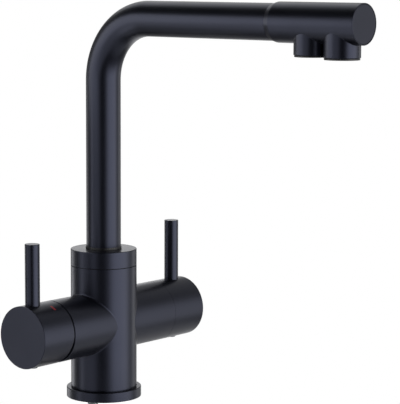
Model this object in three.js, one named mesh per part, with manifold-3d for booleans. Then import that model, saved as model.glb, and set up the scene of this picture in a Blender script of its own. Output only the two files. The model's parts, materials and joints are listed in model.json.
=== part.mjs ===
// A deck-mounted three way kitchen tap: hot and cold mixed by one pin lever, filtered water by the
// other, and an L-shaped swivel spout with two separate outlets. Millimetres, +Z up, the origin on
// the worktop at the middle of the base. The spout runs towards -Y, the arms lie along X.
import * as THREE from "three";
import { mergeVertices } from "three/addons/utils/BufferGeometryUtils.js";
import Module from "manifold-3d";

const wasm = await Module();
wasm.setup();

// ---------------------------------------------------------------- clearances and facets
const fit = 0.3; // between pieces that turn or slide in one another
const seat = 0.2; // between faces that rest on one another
const eps = 1; // how far a cutter reaches past what it cuts
const BIG = 40; // sides of the large round pieces that show
const SHOWN = 24; // of the small ones that show
const MEDIUM = 20; // of the pieces inside
const SMALL = 12;

// ---------------------------------------------------------------- body and base
const bodyRadius = 24.3;
const baseOverhang = 3.3;
const baseRadius = bodyRadius + baseOverhang;
const baseHeight = 7.2;
const edge = 0.5; // chamfer of the visible edges
const collarTop = 110.3;
const collarHeight = 11.65;
const swivelGroove = 1.1;
const collarBottom = collarTop - collarHeight;
const bodyTop = collarBottom - swivelGroove;
const footStep = 4.6;
const spigotRadius = bodyRadius - footStep; // the body's foot, inside the base ring
const bodyShoulder = baseHeight + seat;
const gasketThickness = 1.5;
const ringInnerWall = 2.2; // of the base ring, inside its gasket's groove
const ringOuterWall = 2.1;
const gasketInner = spigotRadius + fit + ringInnerWall;
const gasketOuter = baseRadius - ringOuterWall - seat;

// ---------------------------------------------------------------- arms
const armRadius = 22.45;
const armHeight = 55.7;
const seatWall = 22; // where both valve seats lie, out from the body's axis
const armWall = 4.3; // round the filter handle's glide ring
const drumWall = 2.2;
const drumFace = 4;
const hubRadius = 9.5;

// ---------------------------------------------------------------- levers
const pinRadius = 5.2;
const pinTailRadius = 3;
const pinTailLength = 6.2;
const mixerPinRise = 65.9; // above the arms' axis
const filterPinRise = 67.8;
const pinSocketFloor = hubRadius + 2.5; // above the drum's axis
const plugRadius = 3.3;
const plugProud = 0.7;
const plugDepth = 2.6;
const grubRadius = 2.5;
const grubLength = 5;

// ---------------------------------------------------------------- mixer cartridge
const cartridgeRadius = 17.5;
const cartridgeBore = cartridgeRadius + fit;
const nutOverhang = 1.2;
const nutRadius = cartridgeRadius + nutOverhang;
const sealThickness = 1.5;
const cartridgeBaseThickness = 4.4;
const housingLength = 17.4;
const stemClear = 1.4; // between the moving disc and the lever's stem
const nutRecess = 7.35; // from the cartridge's end to the arm's
const mixerGroove = 1.3;
const mixerDrumLength = 29.55;
const mixerPinSetback = 10.1; // of the pin, behind the drum's face
const stemWidth = 8;
const stemShort = 4.1; // how far the stem stops short of the drum's face wall
const leverStroke = 10; // degrees from shut to full flow
const strokeMargin = 0.25;
const tipRadius = 2.2;
const tipDepth = 1.8; // of the lever's tip in the moving disc
const discThickness = 3;
const discGap = 0.1;
const sealEnd = seatWall + seat + sealThickness;
const cartridgeBaseStart = sealEnd + seat;
const cartridgeBaseEnd = cartridgeBaseStart + cartridgeBaseThickness;
const fixedDiscStart = cartridgeBaseEnd + seat;
const movingDiscStart = fixedDiscStart + discThickness + discGap;
const tipStart = movingDiscStart + discThickness - tipDepth;
const cartridgeEnd = fixedDiscStart + housingLength;
const leverPivot = movingDiscStart + discThickness + stemClear + stemWidth / 2;
const mixerArmEnd = cartridgeEnd + nutRecess;
const mixerFace = mixerArmEnd + mixerGroove + mixerDrumLength;
const mixerPinOut = mixerFace - mixerPinSetback;
const stemEnd = mixerFace - drumFace - stemShort;
const portRise = 8.3; // of the mixed water port, above the arm's axis
const portDrop = 5.2; // of the hot and cold ports, below it
const portSpread = 6.5;
const portRadius = 2.8;

// ---------------------------------------------------------------- filter headwork
const headworkRadius = 10;
const headworkBore = headworkRadius + fit;
const headworkWall = 1.8;
const headworkFlangeRadius = headworkRadius + 3;
const headworkReach = 18; // from the valve's seat to the headwork's shoulder
const headworkShoulder = seatWall + headworkReach;
const neckLength = 14;
const headworkNeckEnd = headworkShoulder + neckLength;
const neckSunk = 1.3; // inside the arm's end
const filterArmEnd = headworkNeckEnd + neckSunk;
const filterGroove = 0.4;
const filterDrumLength = 32.5;
const filterFace = filterArmEnd + filterGroove + filterDrumLength;
const filterPinSetback = 12;
const filterPinOut = filterFace - filterPinSetback;
const filterDiscRadius = headworkRadius - fit - headworkWall;
const filterDiscThickness = 2.5;
const spindleRadius = 4.2;
const spindleShort = 6.2; // how far the spindle stops short of the drum's face wall
const spindleEnd = filterFace - drumFace - spindleShort;

// ---------------------------------------------------------------- spout
const tubeRadius = 12.7;
const tubeWall = 1.2;
const bushFlange = 4.15; // how far the tube's foot stands on the bush, above the collar's foot
const tubeBottom = collarBottom + bushFlange;
const runHeight = 279.5; // the level run's centre line
const bendRadius = 45.4;
const bendSteps = 15;
const coneStart = 154.6;
const coneLength = 6.5;
const coneEnd = coneStart + coneLength;
const headStep = 1.1;
const headRadius = tubeRadius + headStep;
const headWall = 2.45;
const headBore = headRadius - headWall;
const mainOutletRadius = 12.4;
const mainInsertDrop = 23.6; // from the run's centre line to the bottom of the insert's rim
const filterOutletRadius = 11.9;
const filterInsertDrop = 22.5;
const outletGap = 0.6; // between the outlets
const filterSetback = 26.6; // from the cone to the filter outlet's middle
const filterReach = coneEnd + filterSetback;
const mainReach = filterReach + filterOutletRadius + outletGap + mainOutletRadius;
const headOverhang = 4.9; // of the barrel's end, past the main outlet
const headEnd = mainReach + mainOutletRadius + headOverhang;
const outletRim = 1.3; // how far an insert shows below its outlet
const insertStep = 0.5; // how far an insert's rim lies inside its outlet
const outletWall = 1.3;
const washerClear = 0.15; // from the barrel's radius down to the main insert's washer
const mainWasherThickness = 1.5;
const mainHousingHeight = mainInsertDrop - headRadius - washerClear - mainWasherThickness - seat;
const filterHousingHeight = 7;
const filterWasherThickness = 1.2;
const elbowFoot = 2.2; // the thickness of the elbow's flange, above the filter insert's washer
const floorDrop = filterInsertDrop - filterHousingHeight - seat - filterWasherThickness
  - elbowFoot - seat; // from the run's centre line to where the filter outlet's bore ends
const innerTubeRadius = 4;
const innerTubeBore = 2.7;
const innerTubeDepth = 14.7; // of the inner tube's foot, below the arms' axis
const innerTubeFoot = armHeight - innerTubeDepth;
const bushRadius = 13.9;
const grooveDepth = 1.2; // of the bush's ring grooves
const glideWidth = 2;
const sealWidth = 2.3;
const land = 0.6; // between the bush's grooves
const retainerDepth = 5.35; // of the retaining screw, below the column's top
const retainerRadius = 2;
const retainerLand = 1.1; // between the screw's groove and the upper seal's
const retainerHeight = bodyTop - retainerDepth;
const upperSeal = retainerHeight - retainerRadius - fit - retainerLand - sealWidth;
const lowerSeal = upperSeal - land - sealWidth;
const lowerGlide = lowerSeal - land - glideWidth;
const bushBottom = lowerGlide - land;
const collarWall = 4;
const bushFlangeRadius = bodyRadius - collarWall - fit;
const spigotInTube = tubeRadius - tubeWall - fit;
const bushWall = 1.6;
const bushBore = spigotInTube - bushWall;
const footRingOverhang = 0.5;
const footRingHeight = 1.8;

// ---------------------------------------------------------------- fixing under the worktop
const worktop = 30;
const studRadius = 4;
const studBack = 11.5;
const studTop = 17;
const studTail = 16.1; // of the stud, below its nut
const rubberThickness = 3;
const plateThickness = 2.5;
const horseshoeRadius = 25;
const slotHalfWidth = 14;
const nutLength = 10;
const nutAcrossFlats = 13;
const inletRadius = 4.8;
const inletDepth = 12;
const inletHot = [-9, -1];
const inletCold = [0, -10];
const inletFilter = [9, -1];

// ---------------------------------------------------------------- waterways in the casting
const waterwayRadius = 2.5;
const mixedWaterRadius = 2.8;
const mixedRise = 17; // where the mixed water enters the column, above the arms' axis
const mixedBore = 7.5; // of the column, round the inner tube
const mixedBoreRise = 7.3; // where that bore starts, above the arms' axis
const funnelHeight = 3;
const socketDepth = 3; // of the inner tube's foot, below the tube's end
const valveSeatRadius = 6; // of the filter valve's seat bore
const valveSeatDepth = 1;
const valveRecess = 2;

// ---------------------------------------------------------------- finishes
const finish = (color, roughness, metalness) =>
  new THREE.MeshStandardMaterial({ color, roughness, metalness });
const matteBlack = () => finish(0x26272c, 0.45, 0.35);
const brass = () => finish(0xb08d4a, 0.35, 1);
const steel = () => finish(0xb9bcc0, 0.3, 1);
const rubber = () => finish(0x17181a, 0.85, 0);
const plastic = () => finish(0x3a3d42, 0.55, 0);
const palePlastic = () => finish(0xe4e2dc, 0.5, 0);
const ceramic = () => finish(0xf2f0ea, 0.35, 0);
const redEnamel = () => finish(0xb3202a, 0.4, 0);
const blueEnamel = () => finish(0x2456b0, 0.4, 0);

// ---------------------------------------------------------------- solids
/** A closed geometry as a solid, turned to face outwards whichever way its outline was drawn. */
function solidOf(geometry) {
  const plain = new THREE.BufferGeometry();
  plain.setAttribute("position", geometry.getAttribute("position"));
  plain.setIndex(geometry.getIndex());
  const merged = mergeVertices(plain, 1e-4);
  const made = (triVerts) =>
    new wasm.Manifold(
      new wasm.Mesh({ numProp: 3, vertProperties: merged.attributes.position.array, triVerts }),
    );
  const solid = made(new Uint32Array(merged.index.array));
  return solid.volume() > 0 ? solid : made(new Uint32Array(merged.index.array).reverse());
}

/** A solid's triangles as a geometry. */
function geometryOf(solid) {
  const mesh = solid.getMesh();
  const geometry = new THREE.BufferGeometry();
  geometry.setAttribute("position", new THREE.BufferAttribute(mesh.vertProperties.slice(), 3));
  geometry.setIndex(new THREE.BufferAttribute(new Uint32Array(mesh.triVerts), 1));
  geometry.computeVertexNormals();
  return geometry;
}

const joined = (first, ...others) => others.reduce((whole, part) => whole.add(part), first);
const cut = (first, ...others) => others.reduce((whole, part) => whole.subtract(part), first);
const moved = (solid, x, y, z) => solid.translate([x, y, z]);

/** Turned about Z from a closed outline of [radius, height] points. */
function turned(outline, sides = MEDIUM) {
  const points = [...outline, outline[0]].map(([r, z]) => new THREE.Vector2(r, z));
  return solidOf(new THREE.LatheGeometry(points, sides).rotateX(Math.PI / 2));
}

/** A round bar along Z from one height to another. */
function bar(radius, from, to, sides = MEDIUM) {
  const geometry = new THREE.CylinderGeometry(radius, radius, to - from, sides);
  return solidOf(geometry.rotateX(Math.PI / 2).translate(0, 0, (from + to) / 2));
}

/** A ring along Z. */
const ring = (outer, inner, from, to, sides = MEDIUM) =>
  turned([[inner, from], [outer, from], [outer, to], [inner, to]], sides);

/** A round bar between two points. */
function drill(from, to, radius, sides = SMALL) {
  const a = new THREE.Vector3(...from);
  const b = new THREE.Vector3(...to);
  const way = b.clone().sub(a);
  const geometry = new THREE.CylinderGeometry(radius, radius, way.length(), sides);
  const turn = new THREE.Quaternion().setFromUnitVectors(
    new THREE.Vector3(0, 1, 0),
    way.clone().normalize(),
  );
  geometry.applyQuaternion(turn).translate(...a.add(b).multiplyScalar(0.5).toArray());
  return solidOf(geometry);
}

/** A block given by its least and greatest corners. */
function block(low, high) {
  const size = high.map((v, i) => v - low[i]);
  const middle = high.map((v, i) => (v + low[i]) / 2);
  return solidOf(new THREE.BoxGeometry(...size).translate(...middle));
}

// ---------------------------------------------------------------- places
const tap = new THREE.Group();
const spout = new THREE.Group();
tap.add(spout);

/** An arm's frame: its Z runs out along the arm, and its X points up. */
function armFrame(side) {
  const frame = new THREE.Group();
  const up = new THREE.Vector3(0, 0, 1);
  const out = new THREE.Vector3(side, 0, 0);
  const across = out.clone().cross(up);
  frame.quaternion.setFromRotationMatrix(new THREE.Matrix4().makeBasis(up, across, out));
  frame.position.set(0, 0, armHeight);
  tap.add(frame);
  return frame;
}
const mixerSide = armFrame(-1);
const filterSide = armFrame(1);

/** The head's frame: its Z runs forward along the level run, and its X points down. */
const head = new THREE.Group();
const down = new THREE.Vector3(0, 0, -1);
const forward = new THREE.Vector3(0, -1, 0);
head.quaternion.setFromRotationMatrix(
  new THREE.Matrix4().makeBasis(down, forward.clone().cross(down), forward),
);
head.position.set(0, 0, runHeight);
spout.add(head);
tap.updateMatrixWorld(true);

/** A solid made in a group's frame, carried into the part's frame. */
const inPart = (solid, group) => solid.transform(group.matrixWorld.toArray());

/** One named piece of the tap, in its group's frame. */
function piece(name, group, material, solid) {
  const mesh = new THREE.Mesh(geometryOf(solid), material);
  mesh.name = name;
  group.add(mesh);
}

// ---------------------------------------------------------------- shared outlines
/** A cylinder's outline with a chamfer at the top edge. */
const chamferedBar = (radius, from, to) => [
  [0, from], [radius, from], [radius, to - edge], [radius - edge, to], [0, to],
];

/** An arm's outline, with its outer edge chamfered. */
const armOutline = (end) => chamferedBar(armRadius, 0, end);

/** What a groove round the bush takes away. */
const bushGroove = (from, width) => ring(bushRadius + eps, grooveRadius - seat, from, from + width);
const grooveRadius = bushRadius - grooveDepth;

// ---------------------------------------------------------------- body
/** The T-shaped casting, with its ports, waterways and valve seats. */
function bodyCasting() {
  const column = turned([
    [0, 0], [spigotRadius, 0], [spigotRadius, bodyShoulder],
    [bodyRadius, bodyShoulder], [bodyRadius, bodyTop - edge], [bodyRadius - edge, bodyTop],
    [0, bodyTop],
  ], BIG);
  const arms = joined(
    inPart(turned(armOutline(mixerArmEnd), BIG), mixerSide),
    inPart(turned(armOutline(filterArmEnd), BIG), filterSide),
  );
  const mixerBore = turned([
    [0, seatWall], [cartridgeBore, seatWall], [cartridgeBore, cartridgeEnd],
    [nutRadius + fit, cartridgeEnd], [nutRadius + fit, mixerArmEnd + eps], [0, mixerArmEnd + eps],
  ]);
  const filterBore = turned([
    [0, seatWall - valveSeatDepth], [valveSeatRadius, seatWall - valveSeatDepth],
    [valveSeatRadius, filterSealStart], [headworkBore, filterSealStart],
    [headworkBore, headworkShoulder], [glideRadius + fit, headworkShoulder],
    [glideRadius + fit, filterArmEnd + eps], [0, filterArmEnd + eps],
  ]);
  const spoutBore = turned([
    [0, socketBottom], [innerTubeRadius + fit, socketBottom],
    [innerTubeRadius + fit, armHeight + mixedBoreRise - funnelHeight],
    [mixedBore, armHeight + mixedBoreRise],
    [mixedBore, bushBottom - fit], [bushRadius + fit, bushBottom - fit],
    [bushRadius + fit, bodyTop + eps], [0, bodyTop + eps],
  ]);
  const port = ([x, y]) => drill([x, y, -eps], [x, y, inletDepth], inletRadius, MEDIUM);
  const channel = ([x, y], to) => drill([x, y, inletDepth - eps], to, waterwayRadius);
  const seatPoint = (spread) => [-seatWall - fit, spread, armHeight - portDrop];
  const valveInlet = [seatWall - valveSeatDepth + fit, 0, armHeight];
  const valveOutlet = [filterSidePort, headworkRadius, armHeight];
  return cut(
    joined(column, arms),
    inPart(mixerBore, mixerSide),
    inPart(filterBore, filterSide),
    spoutBore,
    port(inletHot),
    port(inletCold),
    port(inletFilter),
    channel(inletHot, seatPoint(portSpread)),
    channel(inletCold, seatPoint(-portSpread)),
    channel(inletFilter, valveInlet),
    drill([-seatWall - fit, 0, armHeight + portRise], [0, 0, armHeight + mixedRise],
      mixedWaterRadius),
    drill(valveOutlet, [0, 0, socketBottom + socketDepth / 2], waterwayRadius),
    drill([0, studBack, -eps], [0, studBack, studTop + fit], studRadius + fit),
    drill([0, bodyRadius + eps, retainerHeight], [0, grooveRadius, retainerHeight],
      retainerRadius + fit),
  );
}
const filterSealStart = seatWall + valveRecess;
const socketBottom = innerTubeFoot - socketDepth;
const glideRadius = armRadius - armWall - fit; // of the filter handle's glide ring, in the arm
const sidePortReach = 11; // from the valve's seat to where the headwork lets the water out
const filterSidePort = seatWall + sidePortReach;

piece("body_casting", tap, matteBlack(), bodyCasting());

piece("base_ring", tap, matteBlack(), turned([
  [spigotRadius + fit, 0], [gasketInner - seat, 0], [gasketInner - seat, gasketThickness + seat],
  [gasketOuter + seat, gasketThickness + seat],
  [gasketOuter + seat, 0], [baseRadius, 0], [baseRadius, baseHeight - edge],
  [baseRadius - edge, baseHeight], [spigotRadius + fit, baseHeight],
], BIG));
piece("base_gasket", tap, rubber(),
  ring(gasketOuter, gasketInner, 0, gasketThickness, BIG));

// ---------------------------------------------------------------- fixing
/** A U-shaped washer round the stud, open at the front so the hoses pass. */
function horseshoe(top, thickness) {
  const shape = new THREE.Shape();
  const lip = Math.sqrt(horseshoeRadius ** 2 - slotHalfWidth ** 2);
  const start = Math.atan2(-lip, slotHalfWidth);
  const slotCentre = studBack - studRadius - studMargin - slotHalfWidth;
  shape.absarc(0, 0, horseshoeRadius, start, Math.PI - start, false);
  shape.absarc(0, slotCentre, slotHalfWidth, Math.PI, 0, true);
  const hole = new THREE.Path().absarc(0, studBack, studRadius + fit, 0, 2 * Math.PI, true);
  shape.holes.push(hole);
  const geometry = new THREE.ExtrudeGeometry(shape, {
    depth: thickness, bevelEnabled: false, curveSegments: SMALL,
  });
  return solidOf(geometry.translate(0, 0, top - thickness));
}
const studMargin = 2.4; // between the stud and the horseshoe's slot
const plateTop = -worktop - rubberThickness - seat;
piece("horseshoe_gasket", tap, rubber(), horseshoe(-worktop, rubberThickness));
piece("horseshoe_plate", tap, steel(), horseshoe(plateTop, plateThickness));

const nutTop = plateTop - plateThickness - seat;
const nutBottom = nutTop - nutLength;
piece("fixing_stud", tap, steel(),
  moved(bar(studRadius, nutBottom - studTail, studTop, SMALL), 0, studBack, 0));
piece("fixing_nut", tap, brass(), moved(
  cut(
    bar(nutAcrossFlats / Math.sqrt(3), nutBottom, nutTop, 6),
    bar(studRadius + fit, nutBottom - eps, nutTop + eps, SMALL),
  ), 0, studBack, 0,
));

// ---------------------------------------------------------------- mixer cartridge
const threePorts = (from, to) => [
  drill([portRise, 0, from], [portRise, 0, to], portRadius),
  drill([-portDrop, portSpread, from], [-portDrop, portSpread, to], portRadius),
  drill([-portDrop, -portSpread, from], [-portDrop, -portSpread, to], portRadius),
];
const cartridgeSealRadius = 15;
piece("cartridge_seal", mixerSide, rubber(),
  cut(bar(cartridgeSealRadius, seatWall + seat, sealEnd),
    ...threePorts(seatWall, sealEnd + eps)));
piece("cartridge_base", mixerSide, palePlastic(),
  cut(bar(cartridgeRadius, cartridgeBaseStart, cartridgeBaseEnd),
    ...threePorts(cartridgeBaseStart - eps, cartridgeBaseEnd + eps)));
const fixedDiscRadius = 13.2;
const fixedDiscEnd = fixedDiscStart + discThickness;
piece("cartridge_fixed_disc", mixerSide, ceramic(),
  cut(bar(fixedDiscRadius, fixedDiscStart, fixedDiscEnd),
    ...threePorts(fixedDiscStart - eps, fixedDiscEnd + eps)));

const movingDiscRadius = 9.8;
const movingDiscEnd = movingDiscStart + discThickness;
const mixingRecessRadius = 6.2;
const mixingRecessDepth = 0.9;
const tipFit = 0.4; // round the lever's tip in its pocket, as the tip swings
piece("cartridge_moving_disc", mixerSide, ceramic(),
  cut(bar(movingDiscRadius, movingDiscStart, movingDiscEnd),
    bar(mixingRecessRadius, movingDiscStart - eps, movingDiscStart + mixingRecessDepth),
    bar(tipRadius + tipFit, tipStart - fit, movingDiscEnd + eps)));

const housingMouth = 9.6;
const housingBore = 15.2;
const housingLip = 2.5;
const turretNeck = housingMouth - fit;
const turretSkirt = housingBore - fit;
piece("cartridge_housing", mixerSide, palePlastic(), turned([
  [cartridgeRadius, fixedDiscStart], [cartridgeRadius, cartridgeEnd], [housingMouth, cartridgeEnd],
  [housingMouth, cartridgeEnd - housingLip], [housingBore, cartridgeEnd - housingLip],
  [housingBore, fixedDiscStart],
]));

const turretStart = movingDiscEnd + fit;
const turretShoulder = cartridgeEnd - housingLip - fit;
const turretProud = 1;
const turretEnd = cartridgeEnd + turretProud;
const pivotRadius = 1.5;
const pivotLength = 25;
const slotReach = 5.5;
const acrossTurret = (radius, length) =>
  drill([0, -length / 2, leverPivot], [0, length / 2, leverPivot], radius);
const pivotHole = acrossTurret(pivotRadius + fit, 2 * (turretSkirt + eps));
piece("mixer_turret", mixerSide, plastic(), cut(
  turned([
    [0, turretStart], [turretSkirt, turretStart], [turretSkirt, turretShoulder],
    [turretNeck, turretShoulder], [turretNeck, turretEnd], [0, turretEnd],
  ]),
  block([-slotReach, -stemWidth / 2 - fit, turretStart - eps],
    [slotReach, stemWidth / 2 + fit, turretEnd + eps]),
  pivotHole,
));
piece("lever_pivot_pin", mixerSide, steel(), acrossTurret(pivotRadius, pivotLength));
const stemHalf = stemWidth / 2;
const stemStart = leverPivot - stemHalf;
piece("mixer_spindle", mixerSide, steel(), cut(
  joined(
    block([-stemHalf, -stemHalf, stemStart], [stemHalf, stemHalf, stemEnd]),
    bar(tipRadius, tipStart, stemStart + eps),
  ),
  pivotHole,
));
const nutBore = 12.5;
const nutSunk = 1.3; // inside the arm's end
const nutEnd = mixerArmEnd - nutSunk;
piece("cartridge_nut", mixerSide, brass(),
  ring(nutRadius, nutBore, cartridgeEnd + seat, nutEnd));

const domeMouth = 12; // the hole that the lever's stem tilts in
const domeRise = 4.8;
const domeWall = 1;
const domeLip = 1.6; // the width of the dome's foot
const domeRim = nutEnd + seat;
const domeProud = 0.4; // of the dome's shoulder, past the arm's end
const domeShoulder = mixerArmEnd + domeProud;
piece("cartridge_dome", mixerSide, matteBlack(), turned([
  [nutRadius, domeRim], [nutRadius, domeShoulder], [domeMouth, domeShoulder + domeRise],
  [domeMouth - domeWall, domeShoulder + domeRise - domeWall],
  [nutRadius - domeLip, domeRim],
]));

// ---------------------------------------------------------------- handle drums
/** A hollow drum that turns on a stem, with a boss above the hub for the pin and one below for the
 *  grub screw, and the pocket of its cover plug. */
function handleDrum(rim, face, pinOut, hubStart, stemBore) {
  const shell = turned([
    [armRadius - drumWall, rim], [armRadius - edge, rim], [armRadius, rim + edge],
    [armRadius, face - edge], [armRadius - edge, face], [0, face], [0, face - drumFace],
    [armRadius - drumWall, face - drumFace],
  ], BIG);
  const inside = armRadius - drumWall / 2;
  const solid = joined(
    shell,
    bar(hubRadius, hubStart, face - drumFace / 2),
    drill([0, 0, pinOut], [inside, 0, pinOut], pinRadius + bossWall, MEDIUM),
    drill([0, 0, pinOut], [-inside, 0, pinOut], grubRadius + bossWall),
  );
  return cut(
    solid,
    stemBore,
    drill([pinSocketFloor, 0, pinOut], [armRadius + eps, 0, pinOut], pinRadius + fit, SHOWN),
    drill([0, 0, pinOut], [pinSocketFloor + eps, 0, pinOut], pinTailRadius + fit),
    drill([0, 0, pinOut], [-armRadius - eps, 0, pinOut], grubRadius + fit),
    drill([plugTop + fit, 0, pinOut], [-armRadius - eps, 0, pinOut], plugRadius + fit, MEDIUM),
  );
}
const bossWall = 2.5; // round the pin's socket and the grub screw
const plugTop = -armRadius + plugDepth;

/** The pin, its grub screw and the cover plug of one drum. */
function leverPieces(name, frame, pinOut, top, stemSide) {
  const floor = pinSocketFloor + seat;
  const pin = joined(
    turned([
      [0, floor], [pinRadius, floor], [pinRadius, top - edge / 2], [pinRadius - edge / 2, top],
      [0, top],
    ], SHOWN),
    bar(pinTailRadius, floor - pinTailLength, floor + eps, SMALL),
  );
  const upright = pin.rotate([0, 90, 0]).translate([0, 0, pinOut]);
  piece(name + "_lever_pin", frame, matteBlack(), upright);
  const tip = -stemSide - seat;
  piece(name + "_grub_screw", frame, steel(),
    drill([tip, 0, pinOut], [tip - grubLength, 0, pinOut], grubRadius));
  piece(name + "_screw_plug", frame, matteBlack(),
    drill([plugTop, 0, pinOut], [-armRadius - plugProud, 0, pinOut], plugRadius, MEDIUM));
}

/** What the fixed arm's end would sweep, seen from the lever: the rim is cut back by it. */
function strokeRelief() {
  const reach = 2 * armRadius;
  const endFace = mixerArmEnd + strokeMargin - leverPivot;
  return block([-reach, -reach, -reach], [reach, reach, endFace])
    .rotate([0, leverStroke, 0])
    .translate([0, 0, leverPivot]);
}
const squareBore = stemHalf + fit;
const mixerHubGap = 3.55; // between the dome and the hub, for the lever's tilt
const mixerHub = domeShoulder + domeRise + mixerHubGap;
const mixerDrum = cut(
  handleDrum(mixerArmEnd + mixerGroove, mixerFace, mixerPinOut, mixerHub,
    block([-squareBore, -squareBore, mixerHub - eps], [squareBore, squareBore, stemEnd + fit])),
  strokeRelief(),
);
const dashAngle = 27; // degrees round the drum
const dashSetback = 10.2;
const dashOut = mixerPinOut - dashSetback;
const dashLength = 4.8;
const dashWidth = 1.3;
const dashDepth = 0.7;
const dashGap = 0.1;
/** An enamelled dash let into the mixer drum, to one side of the pin. */
function dash(side, margin) {
  const low = dashOut - dashWidth / 2 - margin;
  const high = dashOut + dashWidth / 2 + margin;
  const half = dashLength / 2 + margin;
  const strip = ring(armRadius + margin, armRadius - dashDepth - margin, low, high, 2 * BIG);
  const slice = block([0, -half, low - eps], [armRadius + eps, half, high + eps]);
  return strip.intersect(slice).rotate([0, 0, side * dashAngle]);
}
piece("mixer_handle", mixerSide, matteBlack(), cut(mixerDrum, dash(1, dashGap), dash(-1, dashGap)));
piece("hot_mark", mixerSide, redEnamel(), dash(-1, 0));
piece("cold_mark", mixerSide, blueEnamel(), dash(1, 0));
leverPieces("mixer", mixerSide, mixerPinOut, mixerPinRise, stemHalf);

// ---------------------------------------------------------------- filter headwork
const seatSealThickness = 2;
const seatSealBore = 5;
const seatSealEnd = filterSealStart + seat + seatSealThickness;
const filterFixedStart = seatSealEnd + seat;
const filterMovingStart = filterFixedStart + filterDiscThickness + discGap;
const spindleStart = filterMovingStart + filterDiscThickness + seat;
const skirtHeight = 2.2;
const skirtEnd = spindleStart + skirtHeight;
const headworkStart = filterSealStart + 2 * seat;
const flangeThickness = 5;
const flangeEnd = headworkShoulder + flangeThickness;
const neckWall = 2.5;
const neckRadius = spindleRadius + fit + neckWall;
piece("filter_headwork", filterSide, brass(), cut(
  turned([
    [filterDiscRadius + fit, headworkStart], [headworkRadius, headworkStart],
    [headworkRadius, headworkShoulder + seat], [headworkFlangeRadius, headworkShoulder + seat],
    [headworkFlangeRadius, flangeEnd], [neckRadius, flangeEnd], [neckRadius, headworkNeckEnd],
    [spindleRadius + fit, headworkNeckEnd],
    [spindleRadius + fit, skirtEnd + fit], [filterDiscRadius + fit, skirtEnd + fit],
  ]),
  drill([0, -headworkRadius - eps, filterSidePort], [0, 0, filterSidePort], waterwayRadius),
));
piece("filter_seat_seal", filterSide, rubber(),
  ring(filterDiscRadius, seatSealBore, filterSealStart + seat, seatSealEnd));
const discPortReach = 3.9;
const discPortRadius = 2;
const twoPorts = (from, to) => [discPortReach, -discPortReach].map((x) =>
  drill([x, 0, from], [x, 0, to], discPortRadius));
const filterDisc = (from) => cut(
  bar(filterDiscRadius, from, from + filterDiscThickness),
  ...twoPorts(from - eps, from + filterDiscThickness + eps),
);
piece("filter_fixed_disc", filterSide, ceramic(), filterDisc(filterFixedStart));
piece("filter_moving_disc", filterSide, ceramic(), filterDisc(filterMovingStart));
const clipGrooveDepth = 0.8;
const clipThickness = 0.8;
const clipOverhang = 2.2;
const clipGroove = spindleRadius - clipGrooveDepth;
const clipStart = headworkNeckEnd + fit;
const clipEnd = clipStart + clipThickness;
const clipRadius = spindleRadius + clipOverhang;
piece("filter_spindle", filterSide, brass(), turned([
  [0, spindleStart], [filterDiscRadius, spindleStart], [filterDiscRadius, skirtEnd],
  [spindleRadius, skirtEnd], [spindleRadius, clipStart - seat], [clipGroove, clipStart - seat],
  [clipGroove, clipEnd + seat], [spindleRadius, clipEnd + seat], [spindleRadius, spindleEnd],
  [0, spindleEnd],
]));
piece("spindle_clip", filterSide, steel(), ring(clipRadius, clipGroove + fit, clipStart, clipEnd));
const glideWall = 1.5;
const glideDepth = 5.8; // of the filter handle's glide ring, inside the arm
const glideReach = 4.7; // on into the drum
const glideBore = glideRadius - glideWall;
const glideStart = filterArmEnd - glideDepth;
const glideEnd = filterArmEnd + glideReach;
const glideLand = armRadius - drumWall - fit; // carries the drum's rim
piece("filter_glide_ring", filterSide, palePlastic(), turned([
  [glideBore, glideStart], [glideRadius, glideStart], [glideRadius, filterArmEnd + fit / 2],
  [glideLand, filterArmEnd + filterGroove], [glideLand, glideEnd], [glideBore, glideEnd],
], BIG));
const filterHubGap = 2;
piece("filter_handle", filterSide, matteBlack(), handleDrum(
  filterArmEnd + filterGroove, filterFace, filterPinOut, glideEnd + filterHubGap,
  bar(spindleRadius + fit, glideEnd, spindleEnd + fit),
));
leverPieces("filter", filterSide, filterPinOut, filterPinRise, spindleRadius);

// ---------------------------------------------------------------- swivel
const upperGlide = bodyTop - glideWidth - land;
const flangeTop = tubeBottom - seat;
const bushSpigot = 20; // how far the bush reaches up inside the tube
piece("spout_bush", spout, brass(), cut(
  turned([
    [bushBore, bushBottom], [bushRadius, bushBottom], [bushRadius, collarBottom],
    [bushFlangeRadius, collarBottom], [bushFlangeRadius, flangeTop], [spigotInTube, flangeTop],
    [spigotInTube, flangeTop + bushSpigot], [bushBore, flangeTop + bushSpigot],
  ]),
  bushGroove(lowerGlide, glideWidth),
  bushGroove(lowerSeal, sealWidth),
  bushGroove(upperSeal, sealWidth),
  bushGroove(retainerHeight - retainerRadius - fit, 2 * (retainerRadius + fit)),
  bushGroove(upperGlide, glideWidth),
));
const ringProud = 0.1; // of the seals and glide rings, past the bush
const bushRing = (from, width) =>
  ring(bushRadius + ringProud, grooveRadius, from + seat, from + width - seat);
piece("lower_glide_ring", spout, palePlastic(), bushRing(lowerGlide, glideWidth));
piece("lower_o_ring", spout, rubber(), bushRing(lowerSeal, sealWidth));
piece("upper_o_ring", spout, rubber(), bushRing(upperSeal, sealWidth));
piece("upper_glide_ring", spout, palePlastic(), bushRing(upperGlide, glideWidth));
piece("spout_retaining_screw", tap, steel(),
  drill([0, grooveRadius + fit, retainerHeight], [0, bodyRadius - seat, retainerHeight],
    retainerRadius));
const washerInset = 1; // the swivel groove's depth
piece("thrust_washer", tap, plastic(),
  ring(bodyRadius - washerInset, bushRadius + 2 * fit, bodyTop + seat, collarBottom - seat, BIG));
const collarScrewRadius = 1.5;
const collarScrewRise = 2.4;
const collarScrewHeight = collarBottom + collarScrewRise;
const collarHole = (from, to, radius) =>
  drill([0, from, collarScrewHeight], [0, to, collarScrewHeight], radius);
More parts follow.
